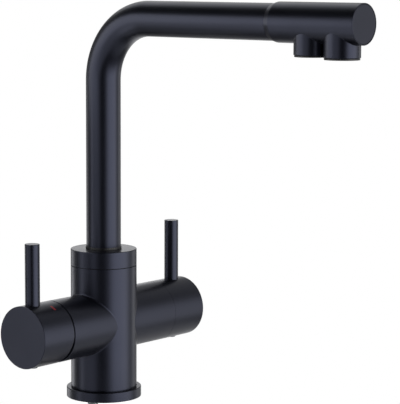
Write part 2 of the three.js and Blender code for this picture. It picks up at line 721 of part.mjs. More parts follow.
piece("swivel_collar", spout, matteBlack(), cut(
  turned([
    [bushFlangeRadius + fit, collarBottom], [bodyRadius - edge, collarBottom],
    [bodyRadius, collarBottom + edge], [bodyRadius, collarTop - edge],
    [bodyRadius - edge, collarTop], [tubeRadius + fit, collarTop], [tubeRadius + fit, tubeBottom],
    [bushFlangeRadius + fit, tubeBottom],
  ], BIG),
  collarHole(bushFlangeRadius - eps, bodyRadius + eps, collarScrewRadius + fit),
));
piece("collar_screw", spout, steel(),
  collarHole(bushFlangeRadius + seat, bodyRadius - seat, collarScrewRadius));
const footRingGap = 0.15;
piece("tube_foot_ring", spout, rubber(), ring(
  tubeRadius + footRingOverhang, tubeRadius + footRingGap, collarTop + footRingGap / 2,
  collarTop + footRingHeight, BIG,
));

// ---------------------------------------------------------------- spout tubes
/** The spout's centre line: up the column, round a quarter bend and forward along the level run.
 *  Each straight is one step, and the bend takes the rest. */
class SpoutLine extends THREE.Curve {
  constructor(from, reach) {
    super();
    this.from = from;
    this.reach = reach;
  }
  getPoint(t) {
    const step = t * (bendSteps + 2);
    const bendBottom = runHeight - bendRadius;
    if (step <= 1) return new THREE.Vector3(0, 0, this.from + (bendBottom - this.from) * step);
    if (step < bendSteps + 1) {
      const angle = ((step - 1) / bendSteps) * (Math.PI / 2);
      return new THREE.Vector3(
        0, -bendRadius * (1 - Math.cos(angle)), bendBottom + bendRadius * Math.sin(angle),
      );
    }
    return new THREE.Vector3(
      0, -bendRadius - (this.reach - bendRadius) * (step - bendSteps - 1), runHeight,
    );
  }
  getTangent(t) {
    const step = t * (bendSteps + 2);
    const angle = (Math.min(Math.max(step - 1, 0), bendSteps) / bendSteps) * (Math.PI / 2);
    return new THREE.Vector3(0, -Math.sin(angle), Math.cos(angle));
  }
  getPointAt(t) {
    return this.getPoint(t);
  }
  getTangentAt(t) {
    return this.getTangent(t);
  }
}

/** A pipe along the spout's centre line, with so many sides to each quarter round it. */
function pipe(outer, inner, from, reach, quarters) {
  const shape = new THREE.Shape().absarc(0, 0, outer, 0, 2 * Math.PI, false);
  shape.holes.push(new THREE.Path().absarc(0, 0, inner, 0, 2 * Math.PI, true));
  return solidOf(new THREE.ExtrudeGeometry(shape, {
    steps: bendSteps + 2, curveSegments: quarters, bevelEnabled: false,
    extrudePath: new SpoutLine(from, reach),
  }));
}
const tubeQuarters = 16;
const innerTubeQuarters = 5;
piece("spout_tube", spout, matteBlack(), pipe(
  tubeRadius, tubeRadius - tubeWall, tubeBottom, coneStart, tubeQuarters,
));
const innerTubeStop = 6; // the inner tube ends this far short of the filter outlet's middle
const innerTubeReach = filterReach - innerTubeStop;
piece("filter_inner_tube", spout, palePlastic(), pipe(
  innerTubeRadius, innerTubeBore, innerTubeFoot, innerTubeReach, innerTubeQuarters,
));

// ---------------------------------------------------------------- spout head
const mainDrop = mainInsertDrop - outletRim; // to the outlet's own bottom edge
const filterDrop = filterInsertDrop - outletRim;
const mainBore = mainOutletRadius - outletWall;
const filterBore = filterOutletRadius - outletWall;
const capInset = 0.7; // the barrel's rim, round the end cap
const capRadius = headRadius - capInset;
const capGap = 0.15;
const capSunk = 0.1;
const capDepth = 7;
const capStart = headEnd - capDepth;
const capPlug = 3; // how far the cap reaches on into the head's bore
const headSpigot = 14; // how far the head reaches back into the tube
const headSpigotWall = 1.4;
const headBoreFunnel = 2;
const elbowOverhang = 2.2;
const elbowRadius = innerTubeRadius + elbowOverhang;

/** The head casting: a cone up from the tube's size, the level barrel and two outlets below it. */
function spoutHead() {
  const barrel = turned([
    [0, coneStart - headSpigot], [spigotInTube, coneStart - headSpigot],
    [spigotInTube, coneStart + seat],
    [tubeRadius, coneStart + seat], [headRadius, coneEnd], [headRadius, headEnd - edge / 2],
    [headRadius - edge / 2, headEnd], [0, headEnd],
  ], BIG);
  const spigotBore = spigotInTube - headSpigotWall;
  const inside = turned([
    [0, coneStart - headSpigot - eps], [spigotBore, coneStart - headSpigot - eps],
    [spigotBore, coneEnd], [headBore, coneEnd + headBoreFunnel], [headBore, capStart],
    [capRadius + capGap, capStart], [capRadius + capGap, headEnd + eps], [0, headEnd + eps],
  ], BIG);
  return cut(
    joined(
      barrel,
      drill([0, 0, mainReach], [mainDrop, 0, mainReach], mainOutletRadius, BIG),
      drill([0, 0, filterReach], [filterDrop, 0, filterReach], filterOutletRadius, BIG),
    ),
    inside,
    drill([0, 0, mainReach], [mainDrop + eps, 0, mainReach], mainBore, MEDIUM),
    drill([floorDrop, 0, filterReach], [filterDrop + eps, 0, filterReach], filterBore, MEDIUM),
    drill([0, 0, filterReach], [filterDrop, 0, filterReach], elbowRadius + fit),
  );
}
piece("spout_head", head, matteBlack(), spoutHead());
piece("head_end_cap", head, matteBlack(), turned([
  [0, capStart - capPlug], [headBore - fit, capStart - capPlug], [headBore - fit, capStart + seat],
  [capRadius, capStart + seat], [capRadius, headEnd - capSunk], [0, headEnd - capSunk],
], BIG));

/** The elbow that takes the inner tube's water down to the filter outlet. */
function filterElbow() {
  const foot = floorDrop + seat;
  const top = -elbowRadius - elbowCrown;
  const branchStart = filterReach - elbowBranch;
  const post = joined(
    drill([foot, 0, filterReach], [top, 0, filterReach], elbowRadius),
    drill([foot, 0, filterReach], [foot + elbowFoot, 0, filterReach], filterBore - fit, MEDIUM),
    bar(innerTubeRadius + elbowWall, branchStart, filterReach, SMALL),
  );
  return cut(
    post,
    bar(innerTubeRadius + fit, branchStart - eps, innerTubeReach + fit, SMALL),
    bar(innerTubeBore, branchStart, filterReach, SMALL),
    drill([foot + elbowFoot + eps, 0, filterReach], [-innerTubeBore, 0, filterReach],
      innerTubeRadius),
  );
}
const elbowCrown = 0.8;
const elbowBranch = 11; // the length of the socket for the inner tube
const elbowWall = 1.8;

piece("filter_elbow", head, palePlastic(), filterElbow());

/** An insert's housing: a rim showing below the outlet, and a threaded sleeve up inside it. */
function outletHousing(drop, bore, outletRadius, reach, height) {
  const bottom = drop + outletRim;
  const outline = [
    [bore - fit - sleeveWall, -bottom], [outletRadius - insertStep, -bottom],
    [outletRadius - insertStep, -drop - seat], [bore - fit, -drop - seat],
    [bore - fit, -bottom + height], [bore - fit - sleeveWall, -bottom + height],
  ];
  return turned(outline, SHOWN).rotate([0, -90, 0]).translate([0, 0, reach]);
}
const sleeveWall = 1.2;
piece("main_aerator_housing", head, plastic(),
  outletHousing(mainDrop, mainBore, mainOutletRadius, mainReach, mainHousingHeight));
piece("filter_nozzle_housing", head, plastic(),
  outletHousing(filterDrop, filterBore, filterOutletRadius, filterReach, filterHousingHeight));

/** A flow straightener: a disc with round holes in rings of six. */
function straightener(radius, drop, reach, rings, holeRadius, pitch) {
  const from = drop + outletRim - coreSunk;
  const to = from - coreThickness;
  const holes = [drill([from + eps, 0, 0], [to - eps, 0, 0], holeRadius, 6)];
  for (let n = 1; n <= rings; n += 1) {
    for (let k = 0; k < 6 * n; k += 1) {
      const angle = (k * Math.PI) / (3 * n);
      const y = pitch * n * Math.cos(angle);
      const z = pitch * n * Math.sin(angle);
      holes.push(drill([from + eps, y, z], [to - eps, y, z], holeRadius, 6));
    }
  }
  return moved(cut(drill([from, 0, 0], [to, 0, 0], radius, MEDIUM), ...holes), 0, 0, reach);
}
const coreSunk = 1.6; // inside its housing's rim
const coreThickness = 3;
const inSleeve = (bore) => bore - fit - sleeveWall - seat;
piece("main_aerator_core", head, palePlastic(),
  straightener(inSleeve(mainBore), mainDrop, mainReach, 2, 1.1, 3.1));
piece("filter_nozzle_core", head, palePlastic(),
  straightener(inSleeve(filterBore), filterDrop, filterReach, 1, 1.5, 4));
/** The soft washer between an insert and the end of its bore. */
const insertWasher = (drop, bore, reach, height, thickness) => {
  const from = drop + outletRim - height - seat;
  return cut(
    drill([from, 0, reach], [from - thickness, 0, reach], bore - fit, MEDIUM),
    drill([from + eps, 0, reach], [from - thickness - eps, 0, reach], bore - washerWidth),
  );
};
const washerWidth = 3.2;
piece("main_aerator_washer", head, rubber(),
  insertWasher(mainDrop, mainBore, mainReach, mainHousingHeight, mainWasherThickness));
piece("filter_nozzle_washer", head, rubber(),
  insertWasher(
    filterDrop, filterBore, filterReach, filterHousingHeight, filterWasherThickness,
  ));

export default tap;
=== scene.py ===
# %% [markdown]
# # A matte black three way tap
# The tap mixes hot and cold water with one pin lever and opens filtered water with another. Its
# L-shaped spout swivels and has two outlets. This lesson loads the measured model as a fixed frame,
# then gives each piece that shows a smooth surface, worked out with numpy, and a procedural finish.

# %% Load the frame
import json
import math

import bmesh
import bpy
import numpy as np
from mathutils import Matrix, Vector


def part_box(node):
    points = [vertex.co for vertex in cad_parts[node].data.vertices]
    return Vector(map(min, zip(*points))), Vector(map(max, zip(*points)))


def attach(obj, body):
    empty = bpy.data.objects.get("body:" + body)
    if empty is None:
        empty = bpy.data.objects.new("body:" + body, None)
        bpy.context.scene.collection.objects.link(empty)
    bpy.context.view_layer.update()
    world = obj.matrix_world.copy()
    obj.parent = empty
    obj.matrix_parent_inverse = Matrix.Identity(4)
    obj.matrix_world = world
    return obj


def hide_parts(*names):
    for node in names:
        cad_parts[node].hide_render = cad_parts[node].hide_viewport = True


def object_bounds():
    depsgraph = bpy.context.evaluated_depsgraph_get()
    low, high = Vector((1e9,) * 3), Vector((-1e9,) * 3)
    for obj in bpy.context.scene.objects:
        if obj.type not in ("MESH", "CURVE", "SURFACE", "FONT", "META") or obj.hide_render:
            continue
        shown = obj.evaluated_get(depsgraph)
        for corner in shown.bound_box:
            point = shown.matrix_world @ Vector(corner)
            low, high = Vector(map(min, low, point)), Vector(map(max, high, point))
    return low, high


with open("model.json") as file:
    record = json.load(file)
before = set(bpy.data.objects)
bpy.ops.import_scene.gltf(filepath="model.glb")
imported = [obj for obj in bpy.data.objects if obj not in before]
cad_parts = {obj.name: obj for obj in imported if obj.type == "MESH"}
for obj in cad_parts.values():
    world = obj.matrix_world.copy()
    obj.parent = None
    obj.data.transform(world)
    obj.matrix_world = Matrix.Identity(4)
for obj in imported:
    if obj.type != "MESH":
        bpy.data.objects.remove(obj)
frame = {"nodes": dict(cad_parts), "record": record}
nodes = frame["nodes"]
cad_box = [list(map(float, corner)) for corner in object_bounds()]
print("the CAD box in metres:", cad_box)

# %% [markdown]
# ## Where the camera stands
# A product photograph is taken from far away with a long lens, so that the cylinders hardly taper.
# The camera's place, its turn and its focal length were solved from the edges of the tap itself:
# it looks down by 7 degrees, from the left of the spout. A camera looks against its own backward
# axis, and its turn is built from the three directions right, up and backward.

# %% Camera directions
CAMERA_PLACE = np.array([-0.973489, -0.905804, 0.313239])
CAMERA_AZIMUTH = math.radians(-50.1162)
CAMERA_PITCH = math.radians(7.2298)
CAMERA_ROLL = math.radians(0.255)


def camera_axes(azimuth, pitch, roll):
    """The camera's right, up and backward directions: backward points from the object to the lens."""
    right = np.array([math.cos(azimuth), math.sin(azimuth), 0.0])
    back = np.array([
        math.sin(azimuth) * math.cos(pitch), -math.cos(azimuth) * math.cos(pitch), math.sin(pitch),
    ])
    up = np.cross(back, right)
    return (
        math.cos(roll) * right + math.sin(roll) * up,
        -math.sin(roll) * right + math.cos(roll) * up,
        back,
    )


AXES = camera_axes(CAMERA_AZIMUTH, CAMERA_PITCH, CAMERA_ROLL)
print("the camera points backward along", np.round(AXES[2], 3))

# %% [markdown]
# The focal length was solved in pixels. A lens in millimetres is as long against the sensor's width
# as the focal length in pixels is against the longer side of the image.

# %% Camera and lens
FOCAL_PIXELS = 1821.81
IMAGE_HEIGHT = 404
SENSOR = 36.0  # mm
camera_data = bpy.data.cameras.new("camera")
camera_data.sensor_width = SENSOR
camera_data.lens = SENSOR * FOCAL_PIXELS / IMAGE_HEIGHT
camera_data.clip_start = 0.05
camera = bpy.data.objects.new("camera", camera_data)
camera_turn = Matrix([list(row) for row in np.column_stack(AXES)]).to_4x4()
camera.matrix_world = Matrix.Translation(Vector(CAMERA_PLACE)) @ camera_turn
bpy.context.scene.collection.objects.link(camera)
bpy.context.scene.camera = camera
print("lens in mm:", round(camera_data.lens, 2))

# %% [markdown]
# ## Sizes from the frame
# The measured model is a frame that the finished pieces have to fit. So a size is read from the
# node that it belongs to, wherever a node has it, and this lesson works in millimetres.

# %% Sizes of a node
MM = 0.001


def low(node, axis):
    """The lowest x, y or z of a CAD node, in millimetres."""
    return round(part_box(node)[0]["xyz".index(axis)] / MM, 3)


def high(node, axis):
    """The highest x, y or z of a CAD node, in millimetres."""
    return round(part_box(node)[1]["xyz".index(axis)] / MM, 3)


print("the spout's head stands", high("spout_head", "z"), "mm above the worktop")

# %% [markdown]
# ## Surfaces from arrays
# Nearly every piece here was turned on a lathe or swept along a path. Such a surface is a grid of
# points: the rows follow a profile and the columns go round. A helper joins the grid's points into
# faces, and turns them outwards by the sign of the volume that they enclose.

# %% Grid to shell
SIDES = 160  # columns round the large pieces


def grid_faces(rows, columns, loop_rows):
    """The corners of the quads of a grid whose columns wrap round, and whose rows may too."""
    row = np.arange(rows if loop_rows else rows - 1)
    column = np.arange(columns)
    i, j = np.meshgrid(row, column, indexing="ij")
    down, right = (i + 1) % rows, (j + 1) % columns
    return np.stack([
        i * columns + j, i * columns + right, down * columns + right, down * columns + j,
    ], axis=-1).reshape(-1, 4)


def shell(grid, loop_rows=False):
    """Points and quads of one closed surface, facing outwards. Six times the volume that it
    encloses is the sum of a . (b x c) over its triangles, and a negative sum means inside out."""
    rows, columns, _ = grid.shape
    points = grid.reshape(-1, 3)
    quads = grid_faces(rows, columns, loop_rows)
    a, b, c, d = (points[quads[:, k]] for k in range(4))
    volume = np.einsum("ij,ij->", a, np.cross(b, c)) + np.einsum("ij,ij->", a, np.cross(c, d))
    return points, quads if volume > 0 else quads[:, ::-1]


print("a grid of 4 by 160 points, closed both ways:", len(grid_faces(4, SIDES, True)), "faces")

# %% [markdown]
# A row that has shrunk to a point leaves a fan of quads with two corners in one place. Merging
# those points makes triangles of them and closes the pole. The shading is smooth, except where
# the surface turns by more than a set angle.

# %% Shells to mesh
SHARP = 28  # degrees: an edge that turns more than this stays sharp in smooth shading


def merge_poles(mesh):
    """Merges points that lie on each other, which turns the quads at a pole into triangles."""
    work = bmesh.new()
    work.from_mesh(mesh)
    bmesh.ops.remove_doubles(work, verts=work.verts, dist=2e-7)
    work.to_mesh(mesh)
    work.free()
    mesh.validate()


def smooth(mesh):
    """Smooth shading that keeps the edges sharp where the surface turns more than SHARP."""
    mesh.shade_smooth()
    mesh.set_sharp_from_angle(angle=math.radians(SHARP))


def mesh_of(name, shells):
    """One smooth mesh of several closed shells, in metres, with its poles merged to points."""
    points, quads, first = [], [], 0
    for shell_points, shell_quads in shells:
        points.append(shell_points)
        quads.append(shell_quads + first)
        first += len(shell_points)
    points, quads = np.concatenate(points) * MM, np.concatenate(quads)
    mesh = bpy.data.meshes.new(name)
    mesh.vertices.add(len(points))
    mesh.vertices.foreach_set("co", points.astype(np.float32).ravel())
    mesh.loops.add(quads.size)
    mesh.loops.foreach_set("vertex_index", quads.astype(np.int32).ravel())
    mesh.polygons.add(len(quads))
    mesh.polygons.foreach_set("loop_start", np.arange(0, quads.size, 4, dtype=np.int32))
    mesh.update(calc_edges=True)
    merge_poles(mesh)
    smooth(mesh)
    return mesh


print("edges over", SHARP, "degrees stay sharp")

# %% [markdown]
# ## Rounded profiles
# A sharp computer edge gives itself away, because a real edge is always broken by a small radius
# that catches the light. Each profile is a list of corners with a radius, and the arc in a corner
# touches both of its straights. Two guard points beside each arc keep the flat faces flat in
# smooth shading.

# %% Profiles
GUARD = 0.06  # mm


def unit(v):
    """Directions of length one."""
    return v / np.maximum(np.linalg.norm(v, axis=-1, keepdims=True), 1e-12)


def rounded(corners, closed=False, steps=5):
    """The profile through corners of (radius out, height, corner radius). For a corner between
    unit directions a and b that meet at angle t, the arc starts at r / tan(t / 2) along a, ends
    as far along b, and its centre lies at r / sin(t / 2) on the line halfway between them."""
    at = np.array([c[:2] for c in corners], float)
    radii = [c[2] if len(c) > 2 else 0.0 for c in corners]
    out = []
    for k, (here, radius) in enumerate(zip(at, radii)):
        ends = not closed and k in (0, len(at) - 1)
        if ends or radius == 0.0:
            out.append(here[None])
            continue
        a, b = unit(at[k - 1] - here), unit(at[(k + 1) % len(at)] - here)
        half = math.acos(float(np.clip(a @ b, -1, 1))) / 2
        reach = radius / math.tan(half)
        centre = here + unit(a + b) * radius / math.sin(half)
        first, last = unit(here + a * reach - centre), unit(here + b * reach - centre)
        sweep = math.acos(float(np.clip(first @ last, -1, 1)))
        t = np.linspace(0, 1, steps + 1)[:, None]
        arc = (np.sin((1 - t) * sweep) * first + np.sin(t * sweep) * last) / math.sin(sweep)
        out.append(np.concatenate([
            (here + a * (reach + GUARD))[None], centre + radius * arc,
            (here + b * (reach + GUARD))[None],
        ]))
    return np.concatenate(out)


print("one rounded corner becomes", len(rounded([(0, 0), (1, 0, 0.2), (1, 1)])) - 2, "points")

# %% [markdown]
# A profile turned about the axis gives the grid. It is made about +z, where the formulas are
# simple, and then carried to where the piece belongs. So every object stays at the origin.

# %% Turning and placing
def around(profile, sides=SIDES):
    """A profile of (r, z) turned about the axis: x = r cos t, y = r sin t, z = z."""
    t = np.linspace(0, 2 * np.pi, sides, endpoint=False)
    r, z = profile[:, 0, None], profile[:, 1, None]
    return np.stack([r * np.cos(t), r * np.sin(t), z + 0 * t], axis=-1)


def placed(grid, origin, x_axis, z_axis):
    """A grid made about its own axis, carried to an origin with its x and z along the given axes."""
    x_axis, z_axis = np.array(x_axis, float), np.array(z_axis, float)
    return np.array(origin, float) + grid @ np.stack([x_axis, np.cross(z_axis, x_axis), z_axis])


print("one turned row has", around(np.array([(1.0, 0.0)])).shape[1], "points")

# %% [markdown]
# ## Finishes
# The tap is powder coated: tiny grains of black polymer melt into a skin that is not quite level.
# One group of nodes gives that unevenness to every coated, moulded or machined finish, as a slow
# variation of tone, a change of gloss and a fine height for the bump.

# %% Surface grain group
GRAINS = 2600.0  # a metre
PATCHES = 45.0  # a metre


def grain_group():
    """Noise at two sizes, read in object coordinates, as tone, gloss and height."""
    group = bpy.data.node_groups.new("surface_grain", "ShaderNodeTree")
    for name, default in (("Grains per metre", GRAINS), ("Patches per metre", PATCHES)):
        socket = group.interface.new_socket(name, in_out="INPUT", socket_type="NodeSocketFloat")
        socket.default_value = default
    for name in ("Tone", "Gloss", "Height"):
        group.interface.new_socket(name, in_out="OUTPUT", socket_type="NodeSocketFloat")
    n, link = group.nodes, group.links.new
    given, result = n.new("NodeGroupInput"), n.new("NodeGroupOutput")
    where = n.new("ShaderNodeTexCoord")
    patches, grains = n.new("ShaderNodeTexNoise"), n.new("ShaderNodeTexNoise")
    patches.inputs["Detail"].default_value = 3.0
    grains.inputs["Detail"].default_value = 2.0
    for noise, size in ((patches, "Patches per metre"), (grains, "Grains per metre")):
        link(where.outputs["Object"], noise.inputs["Vector"])
        link(given.outputs[size], noise.inputs["Scale"])
    gloss = n.new("ShaderNodeMix")
    gloss.inputs["Factor"].default_value = 0.35
    link(patches.outputs["Fac"], gloss.inputs["A"])
    link(grains.outputs["Fac"], gloss.inputs["B"])
    link(patches.outputs["Fac"], result.inputs["Tone"])
    link(gloss.outputs["Result"], result.inputs["Gloss"])
    link(grains.outputs["Fac"], result.inputs["Height"])
    return group


GRAIN = grain_group()
print("the grain group's sockets:", [item.name for item in GRAIN.interface.items_tree])

# %% [markdown]
# A finish mixes two near tones by the group's patches, spreads the roughness a little, and bends
# the normals by the grains' height. What stays the same all over is set on the shader itself.

# %% A grained finish
def grained(name, dark, light, gloss, depth, **fixed):
    """A finish whose colour runs from dark to light with the patches, whose roughness runs
    between the two numbers of gloss, and whose grains stand depth metres high."""
    material = bpy.data.materials.new(name)
    material.use_nodes = True
    n, link = material.node_tree.nodes, material.node_tree.links.new
    surface = n["Principled BSDF"]
    for socket, value in fixed.items():
        surface.inputs[socket.replace("_", " ")].default_value = value
    grain = n.new("ShaderNodeGroup")
    grain.node_tree = GRAIN
    grain.inputs["Grains per metre"].default_value = GRAINS
    grain.inputs["Patches per metre"].default_value = PATCHES
    tone, rough = n.new("ShaderNodeMix"), n.new("ShaderNodeMapRange")
    tone.data_type = "RGBA"
    tone.inputs["A"].default_value = (*dark, 1.0)
    tone.inputs["B"].default_value = (*light, 1.0)
    rough.inputs["From Min"].default_value = 0.3
    rough.inputs["From Max"].default_value = 0.7
    rough.inputs["To Min"].default_value, rough.inputs["To Max"].default_value = gloss
    bump = n.new("ShaderNodeBump")
    bump.inputs["Distance"].default_value = depth
    link(grain.outputs["Tone"], tone.inputs["Factor"])
    link(tone.outputs["Result"], surface.inputs["Base Color"])
    link(grain.outputs["Gloss"], rough.inputs["Value"])
    link(rough.outputs["Result"], surface.inputs["Roughness"])
    link(grain.outputs["Height"], bump.inputs["Height"])
    link(bump.outputs["Normal"], surface.inputs["Normal"])
    return material


print("patches are", round(1000 / PATCHES), "mm wide and grains", round(1000 / GRAINS, 1), "mm")

# %% [markdown]
# The coat itself is almost black, and what is seen of it is the studio, blurred by a roughness of
# about a third. Its reflection is faintly blue at right angles and white at the edges, so the tint
# goes on the specular colour.

# %% The finishes
BLUE_SHEEN = (0.65, 0.70, 1.0, 1.0)
FINISH = {
    "matte_black": grained(
        "matte_black", (0.0026, 0.0028, 0.0042), (0.0036, 0.0038, 0.0056), (0.31, 0.36), 6e-6,
        IOR=1.56, Specular_Tint=BLUE_SHEEN,
    ),
    "rubber": grained(
        "rubber", (0.006, 0.006, 0.008), (0.011, 0.011, 0.014), (0.33, 0.38), 6e-6, IOR=1.6,
    ),
    "dark_plastic": grained(
        "dark_plastic", (0.008, 0.008, 0.010), (0.014, 0.014, 0.017), (0.38, 0.5), 8e-6,
    ),
    "pale_plastic": grained(
        "pale_plastic", (0.66, 0.64, 0.60), (0.78, 0.76, 0.72), (0.4, 0.5), 8e-6,
    ),
    "ceramic": grained("ceramic", (0.80, 0.79, 0.76), (0.88, 0.87, 0.84), (0.12, 0.2), 2e-6),
    "brass": grained(
        "brass", (0.50, 0.36, 0.15), (0.60, 0.45, 0.20), (0.24, 0.36), 4e-6, Metallic=1.0,
    ),
    "steel": grained(
        "steel", (0.50, 0.51, 0.52), (0.60, 0.61, 0.62), (0.22, 0.34), 3e-6, Metallic=1.0,
    ),
    "red_enamel": grained("red_enamel", (0.27, 0.012, 0.02), (0.33, 0.02, 0.028), (0.3, 0.4), 4e-6),
    "blue_enamel": grained(
        "blue_enamel", (0.012, 0.05, 0.34), (0.02, 0.07, 0.42), (0.3, 0.4), 4e-6,
    ),
}
SLOT_OF = {part["node"]: part["material_slot"] for part in frame["record"]["subparts"]}
for name, node in nodes.items():
    node.data.materials.clear()
    node.data.materials.append(FINISH[SLOT_OF[name]])
print("finishes:", ", ".join(FINISH))

# %% [markdown]
# ## Pieces on their bodies
# Each new surface takes the place of one node of the frame. It gets that node's finish and rides on
# the body that the node belongs to, so that it turns with the right handle or with the spout.

# %% Pieces on their bodies
BODY_OF = {
    name: body for body, names in frame["record"]["behaviour"]["bodies"].items() for name in names
}


def stand_in(node, mesh, name=None):
    """An object of a mesh in place of the CAD node, with its finish, riding on the node's body."""
    made = bpy.data.objects.new(name or node + "_surface", mesh)
    bpy.context.scene.collection.objects.link(made)
    made.data.materials.append(FINISH[SLOT_OF[node]])
    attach(made, BODY_OF[node])
    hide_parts(node)
    print(f"{made.name}: {len(made.data.polygons)} faces")
    return made


def piece(node, *shells, name=None):
    """A new piece of closed shells in place of the CAD node."""
    return stand_in(node, mesh_of(node + "_surface", shells), name)


print("bodies:", sorted(set(BODY_OF.values())))

# %% [markdown]
# ## Where one round bar meets another
# The arms grow out of the column and the outlets out of the head. A casting has a small fillet
# there. A ball that rolls in the corner touches both bars: its centre stays one ball radius away
# from each, so its place follows from two right triangles, and the fillet is the arc between its
# two touching points.

# %% Rolling ball branch
def branch(radius, trunk, ball, end_profile, sides=SIDES):
    """A bar of a radius along +z that leaves a trunk of the larger radius lying along x. For the
    angle t round the bar, the ball's centre is at ((r + b) cos t, (r + b) sin t, h) with
    h = sqrt((R + b)^2 - ((r + b) sin t)^2). Rows run from the trunk's middle to the bar's end."""
    t = np.linspace(0, 2 * np.pi, sides, endpoint=False)
    wide = radius + ball
    height = np.sqrt((trunk + ball) ** 2 - (wide * np.sin(t)) ** 2)
    centre = np.stack([wide * np.cos(t), wide * np.sin(t), height], axis=-1)
    to_bar = np.stack([-np.cos(t), -np.sin(t), 0 * t], axis=-1)
    to_trunk = -np.stack([0 * t, centre[:, 1], centre[:, 2]], axis=-1) / (trunk + ball)
    sweep = np.arccos(np.clip(np.sum(to_bar * to_trunk, axis=-1), -1, 1))[None, :, None]
    s = np.linspace(0, 1, 9)[:, None, None]
    arc = (np.sin((1 - s) * sweep) * to_trunk + np.sin(s * sweep) * to_bar) / np.sin(sweep)
    fillet = centre + ball * arc
    along = unit(fillet[0] - fillet[-1] - np.sum(
        (fillet[0] - fillet[-1]) * to_trunk, axis=-1, keepdims=True) * to_trunk)
    hem = fillet[0] + 0.15 * along + 0.03 * to_trunk
    s = np.linspace(0, 1, 6)[1:-1, None, None]
    start, finish = fillet[-1], around(end_profile[:1], sides)[0]
    wall = (1 - s) * start + s * finish
    root = np.zeros((1, sides, 3))
    return np.concatenate([root, hem[None], fillet, wall, around(end_profile, sides)])


print("a branch has", len(branch(1.0, 2.0, 0.1, np.array([(1.0, 4.0)]))), "rows")

# %% [markdown]
# ## The body
# The column and its two arms are one casting. Their main sizes come from the frame's boxes, but the
# foot that stands inside the base ring has no box of its own. A lip on the column and one on the
# collar hide the washer in the swivel groove.

# %% Sizes of the body
BODY_RADIUS = high("swivel_collar", "x")
BODY_TOP = high("body_casting", "z")
FOOT_RADIUS = 19.7  # inside the base ring
SHOULDER = high("base_ring", "z") + 0.05
ARM_RADIUS = high("filter_handle", "y")
ARM_HEIGHT = (low("filter_handle", "z") + high("filter_handle", "z")) / 2
MIXER_ARM_END = -low("body_casting", "x")
FILTER_ARM_END = high("body_casting", "x")
COLLAR_BOTTOM = low("swivel_collar", "z")
COLLAR_TOP = high("swivel_collar", "z")
GROOVE_MIDDLE = (BODY_TOP + COLLAR_BOTTOM) / 2
GROOVE_HALF = 0.15  # of the gap between the two lips
LIP_INSIDE = 23.6  # the lips' inner radius
MIXER_LIP = 0.35  # how far the mixer's arm and drum both reach into the groove between them
FILTER_LIP = 0.28
LIP_WALL = 1.6  # of an arm's lip
BALL = 1.6  # the radius of the fillet between an arm and the column
print("column and arm radii:", BODY_RADIUS, ARM_RADIUS, "arms end at", MIXER_ARM_END, FILTER_ARM_END)

# %% [markdown]
# The column is turned from its profile. Each arm is a branch that ends in a broken edge and a bore,
# where the valve sits. An arm is made about +z too, and then turned to lie along x.

# %% Column and arms
UP = (0, 0, 1)
OUT = {"mixer": (-1, 0, 0), "filter": (1, 0, 0)}


def on_arm(grid, side):
    """Carries a grid made about +z onto an arm: its z runs out along the arm, its x points up."""
    return placed(grid, (0, 0, ARM_HEIGHT), UP, OUT[side])


column = around(rounded([
    (0, 0), (FOOT_RADIUS, 0, 0.3), (FOOT_RADIUS, SHOULDER, 0.1), (BODY_RADIUS, SHOULDER, 0.05),
    (BODY_RADIUS, GROOVE_MIDDLE - GROOVE_HALF, 0.2),
    (LIP_INSIDE, GROOVE_MIDDLE - GROOVE_HALF, 0.05), (LIP_INSIDE, BODY_TOP, 0.05), (0, BODY_TOP),
]))


def arm(side, end, bore, depth, lip, edge):
    """An arm with a blind bore in its end and a lip that stands out round its edge. The trunk
    lies along the branch's x axis, so x is up."""
    inside = ARM_RADIUS - LIP_WALL
    profile = rounded([
        (ARM_RADIUS, end - 6), (ARM_RADIUS, end + lip, edge), (inside, end + lip, 0.05),
        (inside, end, 0.05), (bore, end, 0.3), (bore, end - depth), (0, end - depth),
    ])
    return on_arm(branch(ARM_RADIUS, BODY_RADIUS, BALL, profile), side)


body = piece(
    "body_casting", shell(arm("mixer", MIXER_ARM_END, 19.0, 7.3, MIXER_LIP, 0.3)),
    shell(arm("filter", FILTER_ARM_END, 18.0, 12.0, FILTER_LIP, 0.06)), name="body",
)

# %% [markdown]
# Three hoses screw up into the foot and a stud clamps the tap, so the foot has four round holes.
# Holes in a flat face are what a Boolean is good at. It works on the column alone, which is one
# clean shell, and the drilled column then joins the arms. The shading is set again on the whole, so
# that the holes keep their sharp rims.

# %% Holes in the foot
STUD_RADIUS = high("fixing_stud", "x")
STUD_Y = (low("fixing_stud", "y") + high("fixing_stud", "y")) / 2
STUD_TOP = high("fixing_stud", "z")
STUD_ROOM = 0.3  # round the stud and above it
INLET_RADIUS = 4.8
INLET_DEPTH = 12.0
INLETS = [(-9.0, -1.0), (0.0, -10.0), (9.0, -1.0)]
HOLES = [(x, y, INLET_RADIUS, INLET_DEPTH) for x, y in INLETS]
HOLES.append((0.0, STUD_Y, STUD_RADIUS + STUD_ROOM, STUD_TOP + STUD_ROOM))


def drilled(solid, holes, start=-2.0, sides=48):
    """The mesh of a solid with round holes of (x, y, radius, top) cut up into it from a start."""
    pair = [
        bpy.data.objects.new("solid", mesh_of("solid", [solid])),
        bpy.data.objects.new("drills", mesh_of("drills", [
            shell(np.array([x, y, 0.0]) + around(
                np.array([(0, start), (r, start), (r, top), (0, top)]), sides))
            for x, y, r, top in holes
        ])),
    ]
    for part in pair:
        bpy.context.scene.collection.objects.link(part)
    cut = pair[0].modifiers.new("holes", "BOOLEAN")
    cut.object, cut.operation, cut.solver = pair[1], "DIFFERENCE", "EXACT"
    ready = pair[0].evaluated_get(bpy.context.evaluated_depsgraph_get())
    mesh = bpy.data.meshes.new_from_object(ready)
    for part in pair:
        bpy.data.objects.remove(part)
    return mesh


